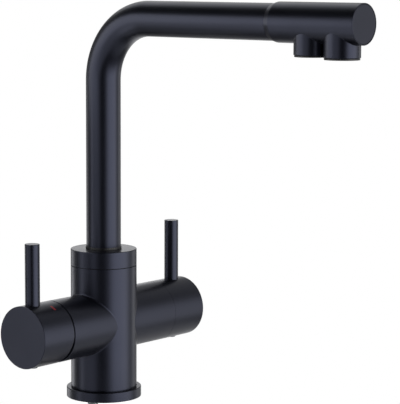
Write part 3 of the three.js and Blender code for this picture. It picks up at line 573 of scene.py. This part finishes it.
def join(target, mesh):
    """Adds a mesh to a target mesh."""
    both = bmesh.new()
    both.from_mesh(target)
    both.from_mesh(mesh)
    both.to_mesh(target)
    both.free()


join(body.data, drilled(shell(column), HOLES))
smooth(body.data)
print("the body has", len(body.data.polygons), "faces with its holes")

# %% [markdown]
# ## Rings of the column
# The base ring covers the hole in the worktop and holds a gasket in a groove underneath. At the
# top, a washer lies in a shadow groove, and the collar above it turns with the spout.

# %% Base ring and gasket
BASE_RADIUS = high("base_ring", "x")
BASE_HEIGHT = high("base_ring", "z")
GASKET_RADIUS = high("base_gasket", "x")
GASKET_TOP = high("base_gasket", "z")
RING_HOLE = 20.0  # the radius inside the base ring


def ring_piece(node, corners, sides=SIDES):
    """A ring turned from a closed profile."""
    return piece(node, shell(around(rounded(corners, closed=True), sides), loop_rows=True))


ring_piece("base_ring", [
    (RING_HOLE, 0, 0.2), (22.0, 0, 0.2), (22.0, 1.7, 0.1), (25.5, 1.7, 0.1), (25.5, 0, 0.2),
    (BASE_RADIUS, 0, 0.1), (BASE_RADIUS, BASE_HEIGHT, 0.5), (RING_HOLE, BASE_HEIGHT, 0.2),
])
ring_piece("base_gasket", [
    (22.2, 0, 0.3), (GASKET_RADIUS, 0, 0.3), (GASKET_RADIUS, GASKET_TOP, 0.3),
    (22.2, GASKET_TOP, 0.3),
])

# %% [markdown]
# The washer fills the swivel groove from inside. The collar is hollow below, and its upper bore
# holds the tube, which stands in a narrow ring of rubber.

# %% Washer, collar and foot ring
WASHER_LOW, WASHER_HIGH = low("thrust_washer", "z"), high("thrust_washer", "z")
WASHER_RADIUS = high("thrust_washer", "x")
WASHER_HOLE = 14.5
COLLAR_HOLE = 20.3
RING_LOW, RING_HIGH = low("tube_foot_ring", "z"), high("tube_foot_ring", "z")
RING_RADIUS = high("tube_foot_ring", "x")
TUBE_RADIUS = high("spout_tube", "x")
TUBE_FOOT = low("spout_tube", "z")

ring_piece("thrust_washer", [
    (WASHER_HOLE, WASHER_LOW, 0.1), (WASHER_RADIUS, WASHER_LOW, 0.1),
    (WASHER_RADIUS, WASHER_HIGH, 0.1), (WASHER_HOLE, WASHER_HIGH, 0.1),
])
ring_piece("swivel_collar", [
    (COLLAR_HOLE, COLLAR_BOTTOM, 0.2), (LIP_INSIDE, COLLAR_BOTTOM, 0.05),
    (LIP_INSIDE, GROOVE_MIDDLE + GROOVE_HALF, 0.05),
    (BODY_RADIUS, GROOVE_MIDDLE + GROOVE_HALF, 0.2), (BODY_RADIUS, COLLAR_TOP, 0.5),
    (TUBE_RADIUS + 0.3, COLLAR_TOP, 0.15), (TUBE_RADIUS + 0.3, TUBE_FOOT, 0.1),
    (COLLAR_HOLE, TUBE_FOOT, 0.1),
])
ring_piece("tube_foot_ring", [
    (TUBE_RADIUS + 0.15, RING_LOW, 0.05), (RING_RADIUS, RING_LOW, 0.05),
    (RING_RADIUS, RING_HIGH, 0.15), (TUBE_RADIUS + 0.15, RING_HIGH, 0.05),
])

# %% [markdown]
# ## The spout's tube
# A straight, a quarter bend and another straight share one centre line. A circle is carried along
# it: at each point the circle stands square to the path, so its centre, the path's direction and
# one fixed sideways axis give all of its points. The wall is closed by a second, smaller circle.

# %% Tube along its path
RUN_HEIGHT = high("spout_tube", "z") - TUBE_RADIUS
BEND_RADIUS = 45.4  # of the tube's centre line
TUBE_WALL = 1.2
CONE_START = 157.1  # how far forward the head's cone begins
TUBE_END = CONE_START - 0.05


def centre_line(start, end, bend_steps=40):
    """Points and directions of the spout's path. In the bend, at angle a from upright, the path
    is at y = -R (1 - cos a) and z = z0 + R sin a, and heads along (0, -sin a, cos a)."""
    a = np.linspace(0, np.pi / 2, bend_steps + 1)
    foot = RUN_HEIGHT - BEND_RADIUS
    bend = np.stack([0 * a, -BEND_RADIUS * (1 - np.cos(a)), foot + BEND_RADIUS * np.sin(a)], -1)
    rise = np.stack([0 * a[:8], 0 * a[:8], np.linspace(start, foot, 9)[:-1]], axis=-1)
    run = np.stack([0 * a[:8], -np.linspace(BEND_RADIUS, end, 9)[1:], 0 * a[:8] + RUN_HEIGHT], -1)
    angle = np.concatenate([np.zeros(8), a, np.full(8, np.pi / 2)])
    ways = np.stack([0 * angle, -np.sin(angle), np.cos(angle)], axis=-1)
    return np.concatenate([rise, bend, run]), ways


def swept(radius, points, ways, sides=SIDES):
    """A circle of a radius carried along the path: point + r (cos t side + sin t across)."""
    t = np.linspace(0, 2 * np.pi, sides, endpoint=False)[None, :, None]
    side = np.array([1.0, 0.0, 0.0])
    across = np.cross(ways, side)[:, None, :]
    return points[:, None, :] + radius * (np.cos(t) * side + np.sin(t) * across)


line, ways = centre_line(TUBE_FOOT, TUBE_END)
tube = np.concatenate([
    swept(TUBE_RADIUS, line, ways), swept(TUBE_RADIUS - TUBE_WALL, line, ways)[::-1],
])
piece("spout_tube", shell(tube, loop_rows=True))
print("the run lies", RUN_HEIGHT, "mm above the worktop")

# %% [markdown]
# ## The spout's head
# A short cone leads from the tube to a slightly thicker barrel, and two outlets branch off below.
# Each outlet's place and width are read from the dark rim of the insert that fits it.

# %% Sizes of the head
CONE_END = CONE_START + 4.0
HEAD_RADIUS = high("spout_head", "x")
HEAD_END = -low("spout_head", "y")
RIM_HEIGHT = 1.3  # of an insert's rim below its outlet
RIM_STEP = 0.5  # how much narrower than the outlet the rim is


def outlet_sizes(rim):
    """An outlet's place along the run, its radius and how far it drops, from its dark rim."""
    reach = -(low(rim, "y") + high(rim, "y")) / 2
    return reach, high(rim, "x") + RIM_STEP, RUN_HEIGHT - low(rim, "z") - RIM_HEIGHT


MAIN_REACH, MAIN_RADIUS, MAIN_DROP = outlet_sizes("main_aerator_housing")
FILTER_REACH, FILTER_RADIUS, FILTER_DROP = outlet_sizes("filter_nozzle_housing")
print("main outlet:", MAIN_REACH, MAIN_RADIUS, MAIN_DROP)
print("filter outlet:", FILTER_REACH, FILTER_RADIUS, FILTER_DROP)

# %% [markdown]
# The barrel is turned and lies along the run. Each outlet is a branch with a pocket for its insert.
# The cap closes the barrel's end and sits a hair below its rim.

# %% Head, outlets and cap
DOWN = (0, 0, -1)
FORWARD = (0, -1, 0)
POCKET_RADIUS = 13.1  # inside the barrel's end, round the cap
CAP_RADIUS = 12.95
CAP_SUNK = 0.1
SPIGOT_RADIUS = 10.9  # of the head's part that stands in the tube


def on_run(grid):
    """Carries a grid made about +z onto the level run: its z points forward, its x down."""
    return placed(grid, (0, 0, RUN_HEIGHT), DOWN, FORWARD)


def below_run(grid, reach):
    """Carries a grid made about +z to hang below the run, with its x along the run."""
    return placed(grid, (0, -reach, RUN_HEIGHT), FORWARD, DOWN)


barrel = around(rounded([
    (0, CONE_START - 12), (SPIGOT_RADIUS, CONE_START - 12, 0.3), (SPIGOT_RADIUS, CONE_START),
    (TUBE_RADIUS, CONE_START), (HEAD_RADIUS, CONE_END, 3.0), (HEAD_RADIUS, HEAD_END, 0.3),
    (POCKET_RADIUS, HEAD_END, 0.1), (POCKET_RADIUS, HEAD_END - 6), (0, HEAD_END - 6),
]))


def outlet(reach, radius, drop):
    """An outlet with a rounded lip and a pocket that reaches up to the barrel's skin."""
    profile = rounded([
        (radius, drop - 4), (radius, drop, 0.4), (radius - 1.3, drop, 0.2),
        (radius - 1.3, HEAD_RADIUS + 0.4), (0, HEAD_RADIUS + 0.4),
    ])
    return below_run(branch(radius, HEAD_RADIUS, 0.35, profile), reach)


piece(
    "spout_head", shell(on_run(barrel)), shell(outlet(MAIN_REACH, MAIN_RADIUS, MAIN_DROP)),
    shell(outlet(FILTER_REACH, FILTER_RADIUS, FILTER_DROP)),
)
piece("head_end_cap", shell(on_run(around(rounded([
    (0, HEAD_END - 5.5), (CAP_RADIUS, HEAD_END - 5.5, 0.2), (CAP_RADIUS, HEAD_END - CAP_SUNK, 0.2),
    (0, HEAD_END - CAP_SUNK),
])))))

# %% [markdown]
# Each insert is a housing with a plain rim, which shows as a dark band below its outlet.

# %% Insert housings
SLEEVE_WALL = 1.2


def housing(node, reach, radius, drop):
    """A rim as wide as the outlet less half a millimetre, and a sleeve up inside the pocket."""
    foot, rim, sleeve = drop + RIM_HEIGHT, radius - RIM_STEP, radius - 1.6
    top = foot - (high(node, "z") - low(node, "z"))
    corners = [
        (sleeve - SLEEVE_WALL, foot, 0.3), (rim, foot, 0.3), (rim, drop + 0.2, 0.1),
        (sleeve, drop + 0.2, 0.1), (sleeve, top, 0.1), (sleeve - SLEEVE_WALL, top, 0.1),
    ]
    return piece(node, shell(below_run(around(rounded(corners, closed=True)), reach), True))


housing("main_aerator_housing", MAIN_REACH, MAIN_RADIUS, MAIN_DROP)
housing("filter_nozzle_housing", FILTER_REACH, FILTER_RADIUS, FILTER_DROP)

# %% [markdown]
# Up inside each housing sits a straightener: a pale disc with round holes in rings of six, which
# calms the stream. The disc is drilled by the same Boolean as the column's foot.

# %% Straighteners
def straightener(node, rings, hole, pitch):
    """A disc at its CAD node's place, with a hole in the middle and 6 n holes round ring n, whose
    centres lie at the radius n times the pitch."""
    y = (low(node, "y") + high(node, "y")) / 2
    bottom, top, radius = low(node, "z"), high(node, "z"), high(node, "x")
    disc = np.array([0.0, y, 0.0]) + around(rounded([
        (0, bottom), (radius, bottom, 0.15), (radius, top, 0.15), (0, top),
    ]), 96)
    holes = [(0.0, y, hole, top + 1)]
    for ring in range(1, rings + 1):
        for angle in np.arange(6 * ring) * math.pi / (3 * ring):
            x_hole = ring * pitch * math.sin(angle)
            holes.append((x_hole, y + ring * pitch * math.cos(angle), hole, top + 1))
    mesh = drilled(shell(disc), holes, bottom - 2, 24)
    mesh.name = node + "_surface"
    smooth(mesh)
    return stand_in(node, mesh)


straightener("main_aerator_core", 2, 1.1, 3.1)
straightener("filter_nozzle_core", 1, 1.5, 4.0)

# %% [markdown]
# ## The handles
# Each handle is a hollow drum with a pin standing in it. The mixer's drum also tips outward by ten
# degrees, so its rim is cut back on the underside by the plane that the arm's end would sweep:
# where that plane lies further out than the rim, the rim follows the plane.

# %% Drums
DRUM_WALL = 2.2
FACE_WALL = 4.0
MIXER_RIM, MIXER_FACE = -high("mixer_handle", "x"), -low("mixer_handle", "x")
FILTER_RIM, FILTER_FACE = low("filter_handle", "x"), high("filter_handle", "x")
PIVOT = 40.0  # how far out the mixer's handle tips
STROKE = math.radians(10)
STROKE_ROOM = 0.15  # left between the rim and the arm at full stroke
RELIEF_REACH = 6.0  # how far along the drum the cut back dies out


def drum(rim, face, edge, relieved):
    """A hollow drum from the middle of its face, over its rim and back inside. A point of the rim
    at radius r and angle t from the top is pushed out to the plane z = p + (e - r cos t sin s) /
    cos s, where p is the pivot, e the arm's end seen from it, and s the stroke."""
    profile = rounded([
        (0, face), (ARM_RADIUS, face, 0.45), (ARM_RADIUS, rim, edge),
        (ARM_RADIUS - DRUM_WALL, rim, 0.2), (ARM_RADIUS - DRUM_WALL, face - FACE_WALL, 0.5),
        (0, face - FACE_WALL),
    ])
    grid = around(profile)
    if relieved:
        end = MIXER_ARM_END + MIXER_LIP + STROKE_ROOM - PIVOT
        plane = PIVOT + (end - grid[..., 0] * math.sin(STROKE)) / math.cos(STROKE)
        at_rim = np.clip((rim + RELIEF_REACH - grid[..., 2]) / RELIEF_REACH, 0, 1)
        grid[..., 2] += at_rim * np.maximum(plane - rim, 0)
    return grid


near_drum = drum(MIXER_RIM - MIXER_LIP, MIXER_FACE, 0.7, True)
far_drum = drum(FILTER_RIM, FILTER_FACE, 0.06, False)
piece("mixer_handle", shell(on_arm(near_drum, "mixer")))
piece("filter_handle", shell(on_arm(far_drum, "filter")))
print("rims and faces:", MIXER_RIM, MIXER_FACE, FILTER_RIM, FILTER_FACE)

# %% [markdown]
# Between the mixer's drum and its arm, a domed cover closes the view of the cartridge. On the
# filter side a glide ring carries the drum, and shows only as a hairline.

# %% Dome and glide ring
DOME_RADIUS = high("cartridge_dome", "y")
DOME_FOOT, DOME_TOP = -high("cartridge_dome", "x"), -low("cartridge_dome", "x")
GLIDE_START, GLIDE_END = low("filter_glide_ring", "x"), high("filter_glide_ring", "x")
GLIDE_HOLE, GLIDE_NECK, GLIDE_RADIUS = 16.2, 17.7, 19.8
piece("cartridge_dome", shell(on_arm(around(rounded([
    (DOME_RADIUS, DOME_FOOT, 0.2), (DOME_RADIUS, DOME_FOOT + 1.5, 0.4), (12.0, DOME_TOP, 0.4),
    (11.0, DOME_TOP - 1, 0.3), (DOME_RADIUS - 1.6, DOME_FOOT, 0.2),
], closed=True)), "mixer"), loop_rows=True))
piece("filter_glide_ring", shell(on_arm(around(rounded([
    (GLIDE_HOLE, GLIDE_START, 0.1), (GLIDE_NECK, GLIDE_START, 0.1),
    (GLIDE_NECK, FILTER_RIM - 0.25, 0.05), (GLIDE_RADIUS, FILTER_RIM, 0.05),
    (GLIDE_RADIUS, GLIDE_END, 0.2), (GLIDE_HOLE, GLIDE_END, 0.2),
], closed=True)), "filter"), loop_rows=True))

# %% [markdown]
# A pin stands in each drum and is its lever. It is a plain rod whose thinner tail sits in a socket.
# A grub screw holds the tail from below, and a small plug covers the screw.

# %% Pins and plugs
PIN_RADIUS = 5.3
TAIL_RADIUS, TAIL_FOOT, TAIL_TOP = 3.0, 6.0, 12.2
SCREW_PLUG_RADIUS = high("mixer_screw_plug", "y")


def upright(grid, x):
    """Carries a grid made about +z to stand up from an arm's axis at x."""
    return placed(grid, (x, 0, ARM_HEIGHT), (1, 0, 0), UP)


def lever_pin(node):
    """The pin and its thinner tail, from below its socket to a top with a small radius."""
    x = (low(node, "x") + high(node, "x")) / 2
    rise = high(node, "z") - ARM_HEIGHT
    return piece(node, shell(upright(around(rounded([
        (0, TAIL_FOOT), (TAIL_RADIUS, TAIL_FOOT, 0.4), (TAIL_RADIUS, TAIL_TOP, 0.1),
        (PIN_RADIUS, TAIL_TOP, 0.2), (PIN_RADIUS, rise, 0.35), (0, rise),
    ]), 96), x)))


def screw_plug(node):
    """The plug over the grub screw, which stands out below the drum."""
    x = (low(node, "x") + high(node, "x")) / 2
    top, end = high(node, "z") - ARM_HEIGHT, low(node, "z") - ARM_HEIGHT
    return piece(node, shell(upright(around(rounded([
        (0, top), (SCREW_PLUG_RADIUS, top, 0.2), (SCREW_PLUG_RADIUS, end, 0.3), (0, end),
    ]), 64), x)))


lever_pin("mixer_lever_pin")
lever_pin("filter_lever_pin")
screw_plug("mixer_screw_plug")
screw_plug("filter_screw_plug")

# %% [markdown]
# ## The fixing under the worktop
# A threaded stud hangs from the body. A horseshoe plate with a rubber pad slides on past the hoses,
# and a nut pulls it up against the worktop. The thread is rolled, so its crests and roots are
# rounded: a cosine that climbs one pitch per turn.

# %% Stud
PITCH = 1.25
THREAD_DEPTH = 0.7


def stud(steps_per_turn=10, sides=48):
    """The stud along z. At height z and angle t the radius is R - d (1 - cos p) / 2 with
    p = 2 pi z / P - t, and a cone at each end keeps it below R - d plus the way in."""
    bottom, top = low("fixing_stud", "z"), STUD_TOP
    rows = int((top - bottom) / PITCH * steps_per_turn)
    z = np.linspace(bottom, top, rows)[:, None]
    t = np.linspace(0, 2 * np.pi, sides, endpoint=False)[None, :]
    wave = STUD_RADIUS - THREAD_DEPTH * (1 - np.cos(2 * np.pi * z / PITCH - t)) / 2
    cone = STUD_RADIUS - THREAD_DEPTH + np.minimum(z - bottom, top - z)
    radius = np.minimum(wave, cone)
    grid = np.stack([radius * np.cos(t), radius * np.sin(t) + STUD_Y, z + 0 * t], axis=-1)
    ends = [np.array([0.0, STUD_Y, end]) + np.zeros((1, sides, 3)) for end in (bottom, top)]
    return np.concatenate([ends[0], grid, ends[1]])


piece("fixing_stud", shell(stud()))

# %% [markdown]
# The nut is a hexagon cut by a cone at both ends. Its corners stand further out than its flats, so
# the cones leave the curved edge that every turned nut shows.

# %% Nut
NUT_HALF = high("fixing_nut", "x")  # half the width across its flats
CHAMFER_START = 0.95
CHAMFER = math.radians(30)


def nut(sides=96):
    """At angle t the hexagon's radius is h = a / cos(t'), with t' the angle from the nearest flat.
    The chamfer starts at 0.95 a and drops by tan(30 degrees) for each millimetre outwards."""
    bottom, top = low("fixing_nut", "z"), high("fixing_nut", "z")
    t = np.linspace(0, 2 * np.pi, sides, endpoint=False)
    from_flat = np.mod(t, np.pi / 3) - np.pi / 6
    hexagon = NUT_HALF / np.cos(from_flat)
    inner, start = STUD_RADIUS + 0.15 + 0 * t, CHAMFER_START * NUT_HALF + 0 * t
    fall = (hexagon - start) * math.tan(CHAMFER)
    rows = [
        (inner, bottom + 0.4), (inner + 0.4, bottom + 0 * t), (start, bottom + 0 * t),
        (hexagon, bottom + fall), (hexagon, top - fall), (start, top + 0 * t),
        (inner + 0.4, top + 0 * t), (inner, top - 0.4),
    ]
    return np.stack([
        np.stack([r * np.cos(t), r * np.sin(t) + STUD_Y, z + 0 * t], axis=-1) for r, z in rows
    ])


piece("fixing_nut", shell(nut(), loop_rows=True))

# %% [markdown]
# The plate and its pad are flat and already have the right outline, so the CAD nodes stay. Only
# their sharp edges need breaking, which a bevel does. It works on welded points.

# %% Broken edges on the horseshoe
BEVEL_ANGLE = math.radians(40)  # only edges that turn more than this are broken
for name, width in (("horseshoe_plate", 0.25), ("horseshoe_gasket", 0.3)):
    weld = nodes[name].modifiers.new("weld", "WELD")
    weld.merge_threshold = 1e-6
    bevel = nodes[name].modifiers.new("broken edges", "BEVEL")
    bevel.width, bevel.segments, bevel.limit_method = width * MM, 3, "ANGLE"
    bevel.angle_limit = BEVEL_ANGLE
    bevel.harden_normals = True
    print(name, "gets edges broken by", width, "mm")

# %% [markdown]
# ## The marks
# A red and a blue dash, let into the drum on either side of the pin, say which way is hot. Each is
# a patch of the drum's own cylinder with a small thickness, so it follows the curve exactly.

# %% Enamel dashes
DASH_OUT = -(low("hot_mark", "x") + high("hot_mark", "x")) / 2
DASH_LENGTH = 5.3
DASH_WIDTH = 1.9
DASH_ANGLE = math.radians(27)  # round the drum from the pin
DASH_MIDDLE = ARM_RADIUS - 0.33  # the radius of its middle: its top stands a hair proud
DASH_HALF_DEPTH = 0.35


def dash(sign):
    """A bar wrapped on the drum: round its middle line go the corners of its section, and along
    it the angle t = s / R. Rows are cross sections, pinched to a point at both ends."""
    s = np.concatenate([[-1], np.linspace(-1, 1, 17), [1]]) * DASH_LENGTH / 2
    t = (sign * DASH_ANGLE + s / ARM_RADIUS)[:, None]
    size = np.concatenate([[0], np.ones(17), [0]])[:, None]
    depth = DASH_MIDDLE + size * np.array([-1, 1, 1, -1]) * DASH_HALF_DEPTH
    out = DASH_OUT + size * np.array([-0.5, -0.5, 0.5, 0.5]) * DASH_WIDTH
    return np.stack([depth * np.cos(t), depth * np.sin(t), out], axis=-1)


for node, sign in (("hot_mark", -1), ("cold_mark", 1)):
    piece(node, shell(on_arm(dash(sign), "mixer")))

# %% [markdown]
# ## The studio
# A black coat shows nothing but its surroundings, so the studio is most of the picture. Tall soft
# boxes stand round the tap and the camera stands in the dark between them, which draws the black
# stripe down each cylinder. The boxes are painted into the world by direction: a box is bright
# where the direction lies within its half width and half height of its middle.

# %% Soft box group
def softbox_group():
    """Brightness of one soft box seen along a direction: the product of two smooth steps, one
    across the box and one up it, which is zero behind."""
    group = bpy.data.node_groups.new("soft_box", "ShaderNodeTree")
    for name, kind in (
        ("Direction", "Vector"), ("Middle", "Vector"), ("Across", "Vector"), ("Upwards", "Vector"),
        ("Half width", "Float"), ("Half height", "Float"), ("Softness", "Float"),
        ("Strength", "Float"),
    ):
        group.interface.new_socket(name, in_out="INPUT", socket_type="NodeSocket" + kind)
    group.interface.new_socket("Light", in_out="OUTPUT", socket_type="NodeSocketFloat")
    n, link = group.nodes, group.links.new
    given, result = n.new("NodeGroupInput"), n.new("NodeGroupOutput")

    def dot(name):
        node = n.new("ShaderNodeVectorMath")
        node.operation = "DOT_PRODUCT"
        link(given.outputs["Direction"], node.inputs[0])
        link(given.outputs[name], node.inputs[1])
        return node.outputs["Value"]

    def calc(operation, first, second=None):
        node = n.new("ShaderNodeMath")
        node.operation = operation
        for socket, value in zip(node.inputs, (first, second)):
            if isinstance(value, (int, float)):
                socket.default_value = value
            elif value is not None:
                link(value, socket)
        return node.outputs[0]

    def inside(name, half):
        away = calc("ABSOLUTE", dot(name))
        step = n.new("ShaderNodeMapRange")
        step.interpolation_type = "SMOOTHSTEP"
        link(away, step.inputs["Value"])
        link(calc("ADD", given.outputs[half], given.outputs["Softness"]), step.inputs["From Min"])
        link(calc("SUBTRACT", given.outputs[half], given.outputs["Softness"]),
             step.inputs["From Max"])
        return step.outputs["Result"]

    front = calc("GREATER_THAN", dot("Middle"), 0.0)
    light = calc("MULTIPLY", inside("Across", "Half width"), inside("Upwards", "Half height"))
    light = calc("MULTIPLY", calc("MULTIPLY", light, front), given.outputs["Strength"])
    link(light, result.inputs["Light"])
    return group


SOFT_BOX = softbox_group()
print("the soft box group's sockets:", [item.name for item in SOFT_BOX.interface.items_tree])

# %% [markdown]
# The widest bright box stands to the camera's right and two narrower ones to its left. The others
# stand behind the tap. They are seen only in grazing reflections, on the flat tops and on the
# flanks that turn away from the camera. Most of the numbers weren't chosen by hand: a least squares
# fit to the brightness along the tap's cylinders gave them, and renders then corrected them.

# %% Soft boxes round the tap
# azimuth and elevation of the middle, half width, half height, softness, strength
BOXES = [
    (11, -3, 0.56, 0.41, 0.22, 2.4),
    (-130, -14, 0.12, 0.60, 0.10, 1.85),
    (-94, -19, 0.36, 0.56, 0.11, 0.8),
    (173, -15, 0.17, 0.15, 0.11, 1.9),
    (121, -25, 0.19, 0.46, 0.17, 1.15),
    (131, 7, 0.14, 0.14, 0.12, 1.5),
    (80, -7, 0.17, 0.26, 0.13, 1.0),
    (149, 37, 0.30, 0.28, 0.05, 0.9),
    (117, -20, 1.30, 1.30, 0.10, 0.15),
    (105, 50, 0.60, 0.50, 0.30, 0.25),
]


def direction(azimuth, elevation):
    """A unit vector: azimuth 0 is towards -y, and 90 towards +x."""
    a, e = math.radians(azimuth), math.radians(elevation)
    return (math.sin(a) * math.cos(e), -math.cos(a) * math.cos(e), math.sin(e))


world = bpy.data.worlds.new("studio")
world.use_nodes = True
bpy.context.scene.world = world
sky = world.node_tree.nodes
wire = world.node_tree.links.new


def box_light(toward, azimuth, elevation, width, height, softness, strength):
    """The light of one soft box, as a socket."""
    box = sky.new("ShaderNodeGroup")
    box.node_tree = SOFT_BOX
    wire(toward, box.inputs["Direction"])
    for name, value in (
        ("Middle", direction(azimuth, elevation)), ("Across", direction(azimuth + 90, 0)),
        ("Upwards", direction(azimuth, elevation + 90)), ("Half width", width),
        ("Half height", height), ("Softness", softness), ("Strength", strength),
    ):
        box.inputs[name].default_value = value
    return box.outputs["Light"]


def sum_of(sockets):
    """The sum of several light sockets, added one after the other."""
    total = sockets[0]
    for socket in sockets[1:]:
        add = sky.new("ShaderNodeMath")
        add.operation = "ADD"
        wire(total, add.inputs[0])
        wire(socket, add.inputs[1])
        total = add.outputs[0]
    return total


toward = sky.new("ShaderNodeTexCoord").outputs["Generated"]
studio_light = sum_of([box_light(toward, *box) for box in BOXES])
print("soft boxes:", len(BOXES))

# %% [markdown]
# The camera sees plain white where the world shows, and everything else sees the boxes. Is Camera
# Ray is 1 for the rays that leave the camera, so it mixes the two.

# %% White for the camera
lit = sky["Background"]
white = sky.new("ShaderNodeBackground")
seen_or_lit = sky.new("ShaderNodeMixShader")
for background in (lit, white):
    background.inputs["Color"].default_value = (1, 1, 1, 1)
wire(studio_light, lit.inputs["Strength"])
wire(sky.new("ShaderNodeLightPath").outputs["Is Camera Ray"], seen_or_lit.inputs["Fac"])
wire(lit.outputs["Background"], seen_or_lit.inputs[1])
wire(white.outputs["Background"], seen_or_lit.inputs[2])
wire(seen_or_lit.outputs["Shader"], sky["World Output"].inputs["Surface"])
print("the world has", len(sky), "nodes")

# %% [markdown]
# The level run is lit more strongly from the left than the parts below it. The world's boxes are
# infinitely far away and can't do that, so one glowing card hangs close to the run. It is a plain
# rectangle that the camera doesn't see, on the side that the run mirrors towards the lens.

# %% Card beside the run
CARD_AZIMUTH = -130.0
CARD_AIM = np.array([0.0, -140.0, 0.0])  # the middle of the run, seen from above
CARD_AWAY = 350.0
CARD_BACK = 40.0  # how far the card is shifted towards the back
CARD_HALF_WIDTH = 200.0
CARD_LOW, CARD_HIGH = 200.0, 385.0
CARD_GLOW = 1.9
card_across = np.array(direction(CARD_AZIMUTH + 90, 0))
card_middle = CARD_AIM + CARD_AWAY * np.array(direction(CARD_AZIMUTH, 0))
card_middle = card_middle - CARD_BACK * card_across
card_corners = [
    card_middle + s * CARD_HALF_WIDTH * card_across + np.array([0, 0, z])
    for s, z in ((-1, CARD_LOW), (1, CARD_LOW), (1, CARD_HIGH), (-1, CARD_HIGH))
]
card_mesh = bpy.data.meshes.new("card")
card_mesh.from_pydata([tuple(corner * MM) for corner in card_corners], [], [(0, 1, 2, 3)])
card = bpy.data.objects.new("card", card_mesh)
bpy.context.scene.collection.objects.link(card)
card.visible_camera = False
shine = bpy.data.materials.new("card_glow")
shine.use_nodes = True
lamp = shine.node_tree.nodes.new("ShaderNodeEmission")
lamp.inputs["Strength"].default_value = CARD_GLOW
shine.node_tree.links.new(
    lamp.outputs["Emission"], shine.node_tree.nodes["Material Output"].inputs["Surface"],
)
card_mesh.materials.append(shine)
print("card middle in mm:", [round(float(v)) for v in card_middle])

# %% [markdown]
# ## The floor
# The floor lies just under the stud, which hangs below the worktop's level. It is a single round
# sheet: x = R cos t, y = R sin t.

# %% Floor sheet
FLOOR_RADIUS = 240.0
FLOOR_CORNERS = 192
FLOOR_HEIGHT = cad_box[0][2] / MM - 0.4
floor_t = np.linspace(0, 2 * np.pi, FLOOR_CORNERS, endpoint=False)
floor_edge = np.stack([
    FLOOR_RADIUS * np.cos(floor_t), FLOOR_RADIUS * np.sin(floor_t), FLOOR_HEIGHT + 0 * floor_t,
], axis=-1) * MM
floor_mesh = bpy.data.meshes.new("floor")
floor_mesh.from_pydata(floor_edge.tolist(), [], [tuple(range(FLOOR_CORNERS))])
floor = bpy.data.objects.new("floor", floor_mesh)
bpy.context.scene.collection.objects.link(floor)
print("the floor lies at", round(FLOOR_HEIGHT, 2), "mm")

# %% [markdown]
# Its paper adds a glow for the camera's rays, so that it shows white and still takes the tap's
# shadow, and a weaker one for reflections. From below it can be looked through, so that the fixing
# can be seen: Backfacing is 1 there, and mixes in a transparent shader.

# %% Floor paper
CAMERA_GLOW, MIRROR_GLOW = 0.9, 0.3
paper = bpy.data.materials.new("floor_paper")
paper.use_nodes = True
n, link = paper.node_tree.nodes, paper.node_tree.links.new
sheet = n["Principled BSDF"]
sheet.inputs["Base Color"].default_value = (0.8, 0.8, 0.8, 1)
sheet.inputs["Roughness"].default_value = 0.9
glow, seen = n.new("ShaderNodeEmission"), n.new("ShaderNodeLightPath")


def scaled(socket, factor):
    """A light path's 0 or 1, times a factor."""
    times = n.new("ShaderNodeMath")
    times.operation = "MULTIPLY"
    times.inputs[1].default_value = factor
    link(socket, times.inputs[0])
    return times.outputs[0]


share = n.new("ShaderNodeMath")
share.operation = "ADD"
link(scaled(seen.outputs["Is Camera Ray"], CAMERA_GLOW), share.inputs[0])
link(scaled(seen.outputs["Is Glossy Ray"], MIRROR_GLOW), share.inputs[1])
link(share.outputs[0], glow.inputs["Strength"])
both = n.new("ShaderNodeAddShader")
link(sheet.outputs["BSDF"], both.inputs[0])
link(glow.outputs["Emission"], both.inputs[1])
below = n.new("ShaderNodeNewGeometry")
clear = n.new("ShaderNodeBsdfTransparent")
one_sided = n.new("ShaderNodeMixShader")
link(below.outputs["Backfacing"], one_sided.inputs["Fac"])
link(both.outputs["Shader"], one_sided.inputs[1])
link(clear.outputs["BSDF"], one_sided.inputs[2])
link(one_sided.outputs["Shader"], n["Material Output"].inputs["Surface"])
floor_mesh.materials.append(paper)
print("the floor's paper has", len(n), "nodes")

# %% [markdown]
# ## The end
# Standard keeps the colours as they are written.

# %% Finish
bpy.context.scene.view_settings.view_transform = "Standard"
